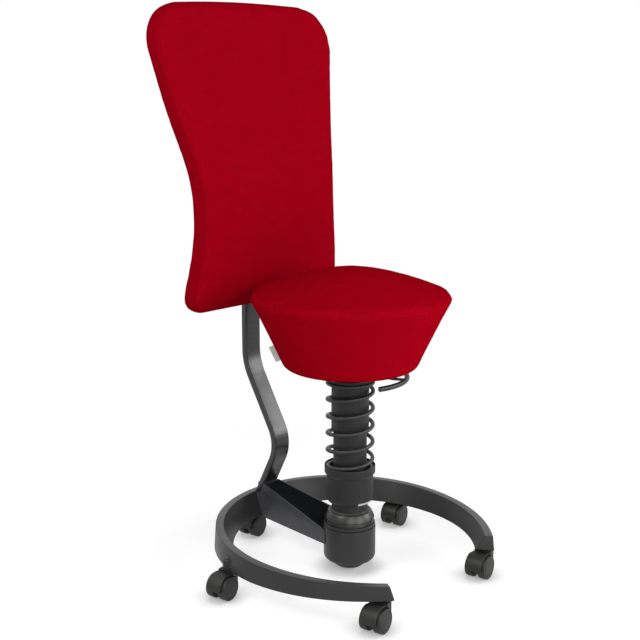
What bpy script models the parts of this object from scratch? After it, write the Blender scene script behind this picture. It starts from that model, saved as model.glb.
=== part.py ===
import bmesh
import bpy
import math
import numpy as np
from mathutils import Matrix
from mathutils import Vector

# Active stool: a ring base on five casters carries a swinging, sprung column with a
# conical seat, and a bent bar behind it carries an upholstered back.
# +Z is up, the floor is z = 0, the column stands on the Z axis and the front is -Y.

MM = 0.001

# Gaps
FIT = 0.3 * MM
SLIDE = 0.4 * MM
SPHERE_GAP = 0.5 * MM
RUN = 1.1 * MM
BAR_LIFT = 1.1 * MM

# Casters
WHEEL_RADIUS = 25.0 * MM
WHEEL_WIDTH = 16.5 * MM
WEB_WIDTH = 11.8 * MM
CASTER_TRAIL = 19.5 * MM
CASTER_OUTSET = 0.8 * MM
CASTER_COUNT = 5
CASTER_HEADING = 189.5
STEM_RADIUS = 5.0 * MM
AXLE_RADIUS = 3.0 * MM
FENDER = 2.4 * MM
BOSS_RADIUS = 10.5 * MM
HOUSING_HALF = 19.0 * MM

# Ring, arm and pot
RING_RADIUS = 288.2 * MM
RING_WIDTH = 17.0 * MM
RING_SPREAD = 21.0 * MM
RING_HEIGHT = 42.1 * MM
RING_RISE = 0.036
RING_FLARE = 19.0 * MM
RING_REACH = 148.0
ARM_REAR_HALF = 25.0 * MM
ARM_POT_HALF = 51.3 * MM
ARM_CREST = 77.0 * MM
POT_RADIUS = 56.0 * MM
POT_WALL = 2.8 * MM
POT_SIDES = 32
KNOB_RADIUS = 38.0 * MM
KNOB_HEIGHT = 14.0 * MM
SWING_ABOVE_RING = 43.0 * MM
POT_DEPTH = 79.0 * MM
POT_FLOOR_DEPTH = 65.0 * MM
BUSH_DEPTH = 49.8 * MM
CUP_LIFT = 54.0 * MM

# Column
STAND_STEP = 20.3 * MM
STAND_WALL = 2.7 * MM
SLEEVE_WALL = 3.9 * MM
SLEEVE_LENGTH = 120.0 * MM
GUIDE_SHARE = 0.7
GUIDE_WALL = 2.6 * MM
GUIDE_LENGTH = 244.0 * MM
GUIDE_BUSH_LENGTH = 24.0 * MM
CYLINDER_SHARE = 0.56
CYLINDER_LENGTH = 216.0 * MM
ROD_RADIUS = 5.0 * MM
WIRE = 8.0 * MM
COIL_STEP = 12.4 * MM
COIL_PITCH = 37.0 * MM
COIL_POINTS = 10
SPRING_LENGTH = 198.6 * MM
CUP_STEP = 14.3 * MM
CUP_HEIGHT = 84.0 * MM
BOUNCE_TRAVEL = 60.0 * MM
HEIGHT_TRAVEL = 100.0 * MM

# Seat
SEAT_RADIUS = 208.0 * MM
SEAT_FOOT = 142.0 * MM
SEAT_SIDE = 139.0 * MM
SEAT_CROWN = 54.0 * MM
SEAT_PAD = 14.0 * MM
HUB_HEIGHT = 43.0 * MM
LEVER_ANGLE = 28.0
LEVER_REACH = 119.0 * MM
LEVER_ROD = 5.0 * MM

# Back
BAR_WIDTH = 43.0 * MM
BAR_THICKNESS = 15.0 * MM
KNEE_HEIGHT = 176.4 * MM
KNEE_SLANT = 0.588
KNEE_ROUND = 70.0 * MM
SHOULDER_ROUND = 60.0 * MM
FOOT_SLANT = 0.515
FOOT_INSET = 7.5 * MM
BAR_OVERLAP = 240.0 * MM
BACK_HEIGHT = 646.0 * MM
BACK_DROP = 45.0 * MM
BACK_WAIST = 195.5 * MM
BACK_TOP_FLARE = 72.5 * MM
BACK_FOOT_FLARE = 18.0 * MM
BACK_TOP_ROUND = 100.0 * MM
BACK_FOOT_ROUND = 38.0 * MM
BACK_EDGE_ROUND = 20.0 * MM
BACK_ARCH = 11.0 * MM
BACK_THICKNESS = 48.0 * MM
BACK_GAP = 14.0 * MM
BACK_STANDOFF = 80.5 * MM
BRACKET_HALF = 30.0 * MM
BACK_LEAN = 86.0 * MM
FOOT_GAP = 2.5 * MM

# Levels, each built up from the floor
HOOD_TOP = 2 * WHEEL_RADIUS + 5.5 * MM
RING_BOTTOM = HOOD_TOP + 2.5 * MM
RING_TOP = RING_BOTTOM + RING_HEIGHT
SWING = RING_BOTTOM + SWING_ABOVE_RING
POT_RIM = SWING - 1.0 * MM
POT_FLOOR = SWING - POT_FLOOR_DEPTH
POT_BASE = SWING - POT_DEPTH
BUSH_LEDGE = SWING - BUSH_DEPTH
CUP_BOTTOM = SWING + CUP_LIFT
CUP_TOP = CUP_BOTTOM + CUP_HEIGHT
CUP_FLOOR = CUP_TOP - 19.0 * MM
WASHER_TOP = CUP_FLOOR + FIT + 2.0 * MM
SPRING_BASE = WASHER_TOP + FIT
SPRING_TOP = SPRING_BASE + SPRING_LENGTH
PLATE_UNDER = SPRING_TOP + FIT
PLATE_TOP = PLATE_UNDER + 5.6 * MM
SLEEVE_TOP = PLATE_TOP + FIT + 4.6 * MM
SLEEVE_ROOF = SLEEVE_TOP - 6.5 * MM
SLEEVE_BOTTOM = SLEEVE_TOP - SLEEVE_LENGTH
STAND_TOP = SLEEVE_ROOF - BOUNCE_TRAVEL - 5.5 * MM
GUIDE_TOP = SLEEVE_TOP + 4.0 * MM
GUIDE_BOTTOM = GUIDE_TOP - GUIDE_LENGTH
GUIDE_FLOOR = GUIDE_BOTTOM + 6.0 * MM
STAND_WEB = GUIDE_BOTTOM - BOUNCE_TRAVEL - 14.0 * MM
STAND_FOOT = SWING - 31.0 * MM
BUSH_TOP = GUIDE_TOP + FIT + 3.2 * MM
HUB_BOTTOM = BUSH_TOP + HEIGHT_TRAVEL + 2.5 * MM
SEAT_PLATE = HUB_BOTTOM + HUB_HEIGHT
SEAT_PLATE_TOP = SEAT_PLATE + 7.0 * MM
CYLINDER_TOP = HUB_BOTTOM + 24.0 * MM
CYLINDER_BOTTOM = CYLINDER_TOP - CYLINDER_LENGTH
SEAT_RIM = SEAT_PLATE + 13.0 * MM
SEAT_KNEE = SEAT_RIM - SEAT_SIDE
SEAT_BOTTOM = SEAT_KNEE - 9.0 * MM
LEVER_PIVOT = SEAT_PLATE - 7.0 * MM
LEVER_LEVEL = SEAT_BOTTOM - 19.0 * MM
BACK_BOTTOM = SEAT_RIM - BACK_DROP
BACK_TOP = BACK_BOTTOM + BACK_HEIGHT

# Radii and set-backs that follow from their neighbours
CASTER_CIRCLE = RING_RADIUS + CASTER_OUTSET
RING_INNER = RING_RADIUS - RING_WIDTH
POT_BORE = POT_RADIUS - POT_WALL
DOME_RADIUS = POT_BORE - 0.2 * MM
DOME_WALL = 2.3 * MM
LINER_OUTER = DOME_RADIUS - DOME_WALL - SPHERE_GAP
LINER_INNER = LINER_OUTER - 1.2 * MM
SEAT_BALL = LINER_INNER - SPHERE_GAP
STAND_RADIUS = POT_RADIUS - STAND_STEP
GUIDE_RADIUS = GUIDE_SHARE * STAND_RADIUS
CYLINDER_RADIUS = CYLINDER_SHARE * GUIDE_RADIUS
COIL_RADIUS = STAND_RADIUS + COIL_STEP
CUP_RADIUS = STAND_RADIUS + CUP_STEP
SLEEVE_BORE = STAND_RADIUS + SLIDE
SLEEVE_RADIUS = SLEEVE_BORE + SLEEVE_WALL
COIL_OUTER = COIL_RADIUS + WIRE / 2
COIL_INNER = COIL_RADIUS * math.cos(math.pi / COIL_POINTS) - WIRE / 2
LIP_BORE = COIL_OUTER + 0.5 * MM
LIP_RADIUS = LIP_BORE + 1.8 * MM
SEAT_SLOPE = (SEAT_RADIUS - SEAT_FOOT) / SEAT_SIDE
SHELL_HOLE = LIP_RADIUS + 11.5 * MM
CRANK_REACH = SHELL_HOLE + 10.0 * MM
LUMBAR_SETBACK = SEAT_RADIUS + BACK_GAP
BAR_SETBACK = LUMBAR_SETBACK + BACK_STANDOFF
FOOT_LEAN = BACK_STANDOFF - BAR_THICKNESS / 2 - BACK_THICKNESS - FOOT_GAP


def clear_scene():
    for obj in list(bpy.data.objects):
        bpy.data.objects.remove(obj, do_unlink=True)


def look(name, colour, roughness, metallic):
    mat = bpy.data.materials.new(name)
    mat.use_nodes = True
    shader = mat.node_tree.nodes["Principled BSDF"]
    shader.inputs["Base Color"].default_value = (*colour, 1.0)
    shader.inputs["Roughness"].default_value = roughness
    shader.inputs["Metallic"].default_value = metallic
    mat.diffuse_color = (*colour, 1.0)
    return mat


def mesh_from(bm, name):
    bmesh.ops.remove_doubles(bm, verts=bm.verts, dist=1e-6)
    bmesh.ops.triangulate(bm, faces=bm.faces)
    bmesh.ops.recalc_face_normals(bm, faces=bm.faces)
    mesh = bpy.data.meshes.new(name)
    bm.to_mesh(mesh)
    bm.free()
    return mesh


def turned(name, profile, steps, start=0.0):
    # Points are (radius, height). A profile that begins on the axis is closed by the axis.
    bm = bmesh.new()
    verts = []
    for radius, height in profile:
        x = radius * math.cos(start)
        y = radius * math.sin(start)
        verts.append(bm.verts.new((x, y, height)))
    edges = []
    for first, second in zip(verts, verts[1:]):
        edges.append(bm.edges.new((first, second)))
    if profile[0][0] > 0:
        edges.append(bm.edges.new((verts[-1], verts[0])))
    bmesh.ops.spin(
        bm,
        geom=verts + edges,
        cent=(0, 0, 0),
        axis=(0, 0, 1),
        angle=2 * math.pi,
        steps=steps,
    )
    return mesh_from(bm, name)


def lofted(name, loops):
    bm = bmesh.new()
    rows = []
    for loop in loops:
        rows.append([bm.verts.new(point) for point in loop])
    for lower, upper in zip(rows, rows[1:]):
        for i in range(len(lower)):
            j = (i + 1) % len(lower)
            bm.faces.new((lower[i], lower[j], upper[j], upper[i]))
    bm.faces.new(rows[0][::-1])
    bm.faces.new(rows[-1])
    return mesh_from(bm, name)


def wedge(name, outline, half_at):
    # The outline is in the YZ plane and is drawn out both ways along X, as far as its Y allows.
    left = [(-half_at(y), y, z) for y, z in outline]
    right = [(half_at(y), y, z) for y, z in outline]
    return lofted(name, [left, right])


def box(name, low, high):
    outline = [(low[1], low[2]), (high[1], low[2]), (high[1], high[2]), (low[1], high[2])]
    left = [(low[0], y, z) for y, z in outline]
    right = [(high[0], y, z) for y, z in outline]
    return lofted(name, [left, right])


def rod(name, radius, low, high, sides, turn=None):
    mesh = turned(name, [(0, low), (radius, low), (radius, high), (0, high)], sides, math.pi / sides)
    if turn is not None:
        mesh.transform(turn)
    return mesh


def tube(name, path, radius, resolution):
    curve = bpy.data.curves.new(name, "CURVE")
    curve.dimensions = "3D"
    curve.bevel_depth = radius
    curve.bevel_resolution = resolution
    curve.use_fill_caps = True
    spline = curve.splines.new("POLY")
    spline.points.add(len(path) - 1)
    for point, place in zip(spline.points, path):
        point.co = (*place, 1.0)
    return curve


def baked(data):
    obj = bpy.data.objects.new("work", data)
    bpy.context.scene.collection.objects.link(obj)
    graph = bpy.context.evaluated_depsgraph_get()
    mesh = bpy.data.meshes.new_from_object(obj.evaluated_get(graph))
    bpy.data.objects.remove(obj, do_unlink=True)
    bm = bmesh.new()
    bm.from_mesh(mesh)
    return mesh_from(bm, data.name)


def combined(base, added, removed):
    # Joins the added solids to the base, then takes the removed ones away.
    obj = bpy.data.objects.new("work", base)
    bpy.context.scene.collection.objects.link(obj)
    helpers = []
    for operation, meshes in (("UNION", added), ("DIFFERENCE", removed)):
        for mesh in meshes:
            other = bpy.data.objects.new("helper", mesh)
            other.hide_render = True
            other.display_type = "WIRE"
            bpy.context.scene.collection.objects.link(other)
            modifier = obj.modifiers.new(operation.lower(), "BOOLEAN")
            modifier.operation = operation
            modifier.solver = "EXACT"
            modifier.object = other
            helpers.append(other)
    graph = bpy.context.evaluated_depsgraph_get()
    mesh = bpy.data.meshes.new_from_object(obj.evaluated_get(graph))
    mesh.name = base.name
    for other in helpers + [obj]:
        bpy.data.objects.remove(other, do_unlink=True)
    return mesh


def joint(name, place, parent=None, heading=0.0):
    empty = bpy.data.objects.new(name, None)
    empty.empty_display_size = 0.03
    bpy.context.scene.collection.objects.link(empty)
    empty.parent = parent
    offset = Vector(place)
    if parent is not None:
        offset = offset - JOINT_PLACES[parent.name]
    JOINT_PLACES[name] = Vector(place)
    empty.location = offset
    empty.rotation_euler = (0, 0, math.radians(heading))
    return empty


def piece(name, data, mat, parent, sharp=35.0):
    # Data is in the stool's own frame; the piece's origin goes to its joint.
    data.name = name
    data.transform(Matrix.Translation(-JOINT_PLACES[parent.name]))
    if isinstance(data, bpy.types.Mesh):
        data.shade_smooth()
        data.set_sharp_from_angle(angle=math.radians(sharp))
    data.materials.clear()
    data.materials.append(mat)
    obj = bpy.data.objects.new(name, data)
    bpy.context.scene.collection.objects.link(obj)
    obj.parent = parent


def arc(centre, radius, first, last, steps):
    points = []
    for k in range(steps + 1):
        angle = math.radians(first + (last - first) * k / steps)
        points.append((centre[0] + radius * math.cos(angle), centre[1] + radius * math.sin(angle)))
    return points


def natural_spline(knots, values):
    # A smooth curve through a few points, with no bend at its ends.
    x = np.array(knots)
    y = np.array(values)
    h = np.diff(x)
    n = len(x)
    rows = np.zeros((n, n))
    right = np.zeros(n)
    rows[0, 0] = 1.0
    rows[-1, -1] = 1.0
    for i in range(1, n - 1):
        rows[i, i - 1] = h[i - 1]
        rows[i, i] = 2 * (h[i - 1] + h[i])
        rows[i, i + 1] = h[i]
        right[i] = 6 * ((y[i + 1] - y[i]) / h[i] - (y[i] - y[i - 1]) / h[i - 1])
    bend = np.linalg.solve(rows, right)

    def value(at):
        i = int(np.clip(np.searchsorted(x, at) - 1, 0, n - 2))
        a = (x[i + 1] - at) / h[i]
        b = (at - x[i]) / h[i]
        cubic = ((a**3 - a) * bend[i] + (b**3 - b) * bend[i + 1]) * h[i] ** 2 / 6
        return float(a * y[i] + b * y[i + 1] + cubic)

    return value


def spin_points(angle_deg):
    angle = math.radians(angle_deg)
    return math.sin(angle), math.cos(angle)


def ring_top(y):
    return RING_TOP + RING_RISE * y


def ring_loop(angle_deg, setback):
    # Past its middle the ring opens outwards, and its inner wall spreads towards its foot.
    turn = math.radians(angle_deg)
    outer = RING_RADIUS + RING_FLARE * max(abs(turn) - math.pi / 2, 0.0) ** 2
    inner = outer - RING_WIDTH
    middle = outer * math.cos(turn)
    low = RING_BOTTOM - 0.015 * min(middle, 0.0)
    top = ring_top(middle)
    height = top - low
    round_top = 4.0 * MM
    round_foot = 2.0 * MM
    foot = outer + 3.6 * MM
    section = [
        (foot - round_foot, low),
        (foot, low + round_foot),
        (outer, top - round_top),
        (outer - 0.3 * round_top, top - 0.3 * round_top),
        (outer - round_top, top),
        (inner + round_top, top),
        (inner + 0.3 * round_top, top - 0.3 * round_top),
        (inner, top - round_top),
    ]
    for share in (0.48, 0.19, 0.05, 0.0):
        section.append((inner - RING_SPREAD * (1 - share) ** 4, low + height * share))
    upright = 7.0 * MM
    loop = []
    for radius, z in section:
        share = max((z - low - upright) / (height - upright), 0.0)
        back = turn - setback * share / RING_RADIUS
        loop.append((radius * math.sin(back), radius * math.cos(back), z))
    return loop


def caster_angles():
    return [360.0 / CASTER_COUNT * k for k in range(CASTER_COUNT)]


def build_base(root, paint, black, rubber, steel):
    steps = 44
    stem_sides = 8
    loops = [ring_loop(-RING_REACH, -11.0 * MM)]
    for k in range(1, steps):
        loops.append(ring_loop(-RING_REACH + 2 * RING_REACH * k / steps, 0.0))
    loops.append(ring_loop(RING_REACH, 11.0 * MM))
    ring = lofted("base_ring", loops)
    bosses = []
    holes = []
    for angle in caster_angles():
        s, c = spin_points(angle)
        move = Matrix.Translation((CASTER_CIRCLE * s, CASTER_CIRCLE * c, 0.0))
        foot = RING_BOTTOM - 0.2 * MM
        boss = turned(
            "boss",
            [
                (0, foot),
                (BOSS_RADIUS, foot),
                (BOSS_RADIUS, foot + 25.0 * MM),
                (0.7 * BOSS_RADIUS, foot + 30.0 * MM),
                (0, foot + 32.0 * MM),
            ],
            12,
        )
        boss.transform(move)
        bosses.append(boss)
        # The stem turns in its hole, so the hole's flats clear the stem's corners.
        hole = (STEM_RADIUS + FIT) / math.cos(math.pi / stem_sides)
        holes.append(rod("hole", hole, foot - 5 * MM, RING_BOTTOM + 28.0 * MM, stem_sides, move))

    # The arm leans on the ring's slanted lug, holds the foot of the bar and widens to the pot.
    bar_end = ring_top(RING_INNER) + BAR_LIFT
    shelf = bar_end - FIT
    front_at = bar_front_line()
    crest = RING_BOTTOM + ARM_CREST
    face = front_at(crest) - FIT
    start = 0.465 * POT_RADIUS
    high_pot = POT_RIM - 10.8 * MM
    low_pot = RING_BOTTOM + 1.5 * MM
    low_rear = RING_BOTTOM - 2.5 * MM
    lug_low = RING_BOTTOM + 0.2 * MM
    lug_high = ring_top(RING_INNER) - 1.0 * MM
    lug_slant = 0.52
    seam_gap = 0.4 * MM
    seam_high = RING_INNER - 1.7 * MM

    def seam_at(z):
        return seam_high - lug_slant * (lug_high - z)

    def half_at(y):
        return ARM_REAR_HALF + (ARM_POT_HALF - ARM_REAR_HALF) * (face - y) / (face - start)

    lug = wedge(
        "lug",
        [
            (seam_at(lug_low) + seam_gap, lug_low),
            (RING_INNER + 9.0 * MM, lug_low),
            (RING_INNER + 9.0 * MM, lug_high),
            (seam_high + seam_gap, lug_high),
        ],
        half_at,
    )
    ring = combined(ring, bosses + [lug], holes)
    piece("base_ring", ring, paint, root)
    outline = [
        (start, low_pot),
        (seam_at(low_rear), low_rear),
        (seam_high, lug_high),
        (seam_high, shelf),
        (front_at(shelf) - seam_gap, shelf),
        (face, crest),
        (start, high_pot),
    ]
    arm = wedge("base_arm", outline, half_at)
    climb = (crest - high_pot) / (face - start)
    fall = (low_rear - low_pot) / (seam_at(low_rear) - start)

    def wall_top(y):
        return high_pot + climb * (y - start)

    def floor_at(y):
        return low_pot + fall * (y - start)

    # Above a crease along each side the wall leans inwards.
    shaves = []
    for side in (-1, 1):
        loops = []
        for y, crease in ((start - 10.0 * MM, high_pot - 9.0 * MM), (face + 45.0 * MM, crest - 37.0 * MM)):
            edge = half_at(y)
            high = crease + 60.0 * MM
            loops.append(
                [
                    (side * (edge + 0.2 * MM), y, crease),
                    (side * (edge - 2.7 * MM), y, high),
                    (side * (edge + 8.0 * MM), y, high),
                    (side * (edge + 8.0 * MM), y, crease),
                ]
            )
        shaves.append(lofted("shave", loops))
    cover_from = start + 4.0 * MM
    cover_to = face - 4.0 * MM
    rim = 4.0 * MM
    recess = wedge(
        "recess",
        [
            (cover_from, wall_top(cover_from) - 3.5 * MM),
            (cover_to, wall_top(cover_to) - 3.5 * MM),
            (cover_to, wall_top(cover_to) + 20 * MM),
            (cover_from, wall_top(cover_from) + 20 * MM),
        ],
        lambda y: half_at(y) - rim,
    )
    near = POT_RADIUS + 16.0 * MM
    far = cover_to - 26.0 * MM
    pocket = wedge(
        "pocket",
        [
            (near, floor_at(near) + 4.0 * MM),
            (far, floor_at(far) + 4.0 * MM),
            (far, wall_top(far) + 10.0 * MM),
            (near, wall_top(near) + 10.0 * MM),
        ],
        lambda y: half_at(y) - rim - 1.5 * MM,
    )
    seat = rod("seat", POT_RADIUS + FIT, 0.0, crest, POT_SIDES)
    cover_seat = rod("cover_seat", POT_RADIUS + 1.2 * MM, 0.0, crest, POT_SIDES)
    bolt_holes = []
    for side in (-1, 1):
        bolt_holes.append(rod("hole", 4.0 * MM + FIT, -20 * MM, 40 * MM, 10, bolt_frame(side)))
    arm = combined(arm, [], shaves + [seat, recess, pocket] + bolt_holes)
    piece("base_arm", arm, paint, root, sharp=20)
    cover = wedge(
        "arm_cover",
        [
            (cover_from + FIT, wall_top(cover_from + FIT) - 3.5 * MM + FIT),
            (cover_to - FIT, wall_top(cover_to - FIT) - 3.5 * MM + FIT),
            (cover_to - FIT, wall_top(cover_to - FIT) - 0.7 * MM),
            (cover_from + FIT, wall_top(cover_from + FIT) - 0.7 * MM),
        ],
        lambda y: half_at(y) - rim - FIT,
    )
    piece("arm_cover", combined(cover, [], [cover_seat]), black, root, sharp=20)

    stud = 8.0 * MM
    stud_bore = stud + 0.5 * MM
    foot_round = 13.0 * MM
    pot_profile = [(stud_bore, POT_BASE)]
    pot_profile += arc((POT_RADIUS - foot_round, POT_BASE + foot_round), foot_round, -90, 0, 3)
    pot_profile += [
        (POT_RADIUS, POT_RIM - 1.2 * MM),
        (POT_RADIUS - 1.0 * MM, POT_RIM),
        (POT_BORE, POT_RIM),
        (POT_BORE, BUSH_LEDGE),
        (POT_BORE - 3.2 * MM, BUSH_LEDGE),
        (POT_BORE - 3.2 * MM, BUSH_LEDGE - 10.2 * MM),
        (POT_BORE - 8.2 * MM, POT_FLOOR),
        (stud_bore, POT_FLOOR),
    ]
    piece("foot_pot", turned("foot_pot", pot_profile, POT_SIDES, math.pi / POT_SIDES), paint, root)
    collar_low = POT_RIM + FIT
    collar_profile = [
        (DOME_RADIUS + 0.7 * MM, collar_low),
        (POT_RADIUS - 1.2 * MM, collar_low),
        (POT_RADIUS - 1.2 * MM, collar_low + 5.7 * MM),
        (POT_RADIUS - 1.7 * MM, collar_low + 6.7 * MM),
        (DOME_RADIUS + 0.7 * MM, collar_low + 6.7 * MM),
    ]
    piece("pot_collar", turned("pot_collar", collar_profile, 32), black, root)

    # The bush is waisted at the swing centre, and its top is a ball seat around that centre.
    taper = 0.185
    lip = 0.9 * MM
    neck = STAND_RADIUS + RUN

    def waist(z):
        return neck + taper * abs(z - SWING)

    # The ball seat ends where only its lip is left beside the waist.
    a = 1 + taper**2
    b = 2 * taper * (neck + lip)
    c = (neck + lip) ** 2 - SEAT_BALL**2
    rise = (math.sqrt(b**2 - 4 * a * c) - b) / (2 * a)
    bush_low = BUSH_LEDGE + FIT
    bush_profile = [(POT_BORE - FIT, bush_low), (POT_BORE - FIT, SWING - 4.0 * MM)]
    bush_profile.append((SEAT_BALL, SWING - 3.0 * MM))
    for share in (0.27, 0.54, 0.79, 1.0):
        bush_profile.append((math.sqrt(SEAT_BALL**2 - (share * rise) ** 2), SWING + share * rise))
    bush_profile.append((waist(SWING + rise), SWING + rise))
    bush_profile.append((waist(SWING), SWING))
    bush_profile.append((waist(bush_low), bush_low))
    piece("swing_bush", turned("swing_bush", bush_profile, 32), rubber, root)

    knob = joint("knob_turn", (0, 0, POT_BASE), root)
    knob_top = POT_BASE - FIT
    knob_low = POT_BASE - KNOB_HEIGHT
    clip = POT_FLOOR + FIT
    knob_profile = [
        (0, knob_low),
        (KNOB_RADIUS - 10.0 * MM, knob_low),
        (KNOB_RADIUS, knob_low + 8.0 * MM),
        (KNOB_RADIUS, knob_top - 3.0 * MM),
        (KNOB_RADIUS - 2.0 * MM, knob_top),
        (stud, knob_top),
        (stud, clip),
        (stud + 3.0 * MM, clip),
        (stud + 3.0 * MM, clip + 3.0 * MM),
        (stud, clip + 3.0 * MM),
        (stud, POT_FLOOR + 18.0 * MM),
        (0, POT_FLOOR + 18.0 * MM),
    ]
    piece("sway_knob", turned("sway_knob", knob_profile, 20), black, knob, sharp=20)
    plate_low = POT_FLOOR + 6.2 * MM
    clamp = joint("clamp_slide", (0, 0, plate_low), root)
    plate_profile = [
        (stud + SLIDE, plate_low),
        (POT_BORE - 3.8 * MM, plate_low),
        (POT_BORE - 3.8 * MM, plate_low + 6.0 * MM),
        (stud + SLIDE, plate_low + 6.0 * MM),
    ]
    piece("clamp_plate", turned("clamp_plate", plate_profile, 20), steel, clamp)


def build_caster(number, angle, root, dark, steel):
    s, c = spin_points(angle)
    place = (CASTER_CIRCLE * s, CASTER_CIRCLE * c, 0.0)
    swivel = joint(f"caster{number}_swivel", place, root, CASTER_HEADING)
    name = f"caster{number}"

    def local_piece(label, mesh, mat, offset, sharp):
        mesh.name = label
        mesh.shade_smooth()
        mesh.set_sharp_from_angle(angle=math.radians(sharp))
        mesh.materials.clear()
        mesh.materials.append(mat)
        obj = bpy.data.objects.new(label, mesh)
        bpy.context.scene.collection.objects.link(obj)
        obj.parent = swivel
        obj.location = offset

    # In the caster's own frame the stem is at its origin and the axle is behind it on +X.
    centre = Vector((CASTER_TRAIL, 0.0, WHEEL_RADIUS))
    across = Matrix.Translation(centre) @ Matrix.Rotation(math.radians(90), 4, "X")
    clear = WHEEL_RADIUS + 2.2 * MM
    crown = clear + FENDER
    hood = rod("hood", crown, -17.0 * MM, 17.0 * MM, 16, across)
    below = box(
        "below",
        (-0.1, -0.1, -0.1),
        (CASTER_TRAIL + 0.1, 0.1, WHEEL_RADIUS - 2.0 * MM),
    )
    hood = combined(hood, [], [below])
    # A housing as wide as the wheels' inner halves stands in front of them, around the stem.
    front = -12.5 * MM
    rear = 8.0 * MM
    bevel = 5.0 * MM
    plan = [
        (front + bevel, -HOUSING_HALF),
        (rear, -HOUSING_HALF),
        (rear, HOUSING_HALF),
        (front + bevel, HOUSING_HALF),
        (front, HOUSING_HALF - bevel),
        (front, bevel - HOUSING_HALF),
    ]
    loops = [[(x, y, z) for x, y in plan] for z in (WHEEL_RADIUS - 1.0 * MM, HOOD_TOP)]
    housing = lofted("housing", loops)
    hub = rod("hub", 9.0 * MM, -WEB_WIDTH / 2 + 0.2 * MM, WEB_WIDTH / 2 - 0.2 * MM, 8, across)
    left = rod("left", clear, WEB_WIDTH / 2, 40.0 * MM, 16, across)
    right = rod("right", clear, -40.0 * MM, -WEB_WIDTH / 2, 16, across)
    socket = rod("socket", STEM_RADIUS + FIT, WHEEL_RADIUS + 5.0 * MM, HOOD_TOP + 10 * MM, 8)
    eye = rod("eye", AXLE_RADIUS + FIT, -20.0 * MM, 20.0 * MM, 8, across)
    hood = combined(hood, [housing, hub], [left, right, socket, eye])
    local_piece(f"{name}_hood", hood, dark, (0, 0, 0), 30)

    collar = HOOD_TOP + FIT
    stem_profile = [
        (0, WHEEL_RADIUS + 5.5 * MM),
        (STEM_RADIUS, WHEEL_RADIUS + 5.5 * MM),
        (STEM_RADIUS, collar),
        (STEM_RADIUS + 3.0 * MM, collar),
        (STEM_RADIUS + 3.0 * MM, RING_BOTTOM - 0.5 * MM),
        (STEM_RADIUS, RING_BOTTOM - 0.5 * MM),
        (STEM_RADIUS, RING_BOTTOM + 27.0 * MM),
        (0, RING_BOTTOM + 27.0 * MM),
    ]
    stem = turned("stem", stem_profile, 8, math.pi / 8)
    local_piece(f"{name}_stem", stem, steel, (0, 0, 0), 30)
    inner = WEB_WIDTH / 2 + RUN
    half_axle = inner + 10.0 * MM
    axle = rod("axle", AXLE_RADIUS, -half_axle, half_axle, 8, Matrix.Rotation(math.radians(90), 4, "X"))
    local_piece(f"{name}_axle", axle, steel, centre, 30)

    # A flat of each wheel rests on the floor, so its corners stand a little outside its radius.
    sides = 20
    tyre = WHEEL_RADIUS / math.cos(math.pi / sides)
    outer = inner + WHEEL_WIDTH
    bore = AXLE_RADIUS + FIT
    wheel_profile = [
        (0, half_axle + 0.5 * MM),
        (bore, half_axle + 0.5 * MM),
        (bore, inner),
        (tyre, inner),
        (tyre, outer - 2.0 * MM),
        (tyre - 2.0 * MM, outer - 0.4 * MM),
        (0.5 * tyre, outer),
        (0, outer + 0.2 * MM),
    ]
    for label, turn in (("wheel_a", 90), ("wheel_b", -90)):
        wheel = turned("wheel", wheel_profile, sides, math.radians(90) + math.pi / sides)
        wheel.transform(Matrix.Rotation(math.radians(turn), 4, "X"))
        local_piece(f"{name}_{label}", wheel, dark, centre, 25)


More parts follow.
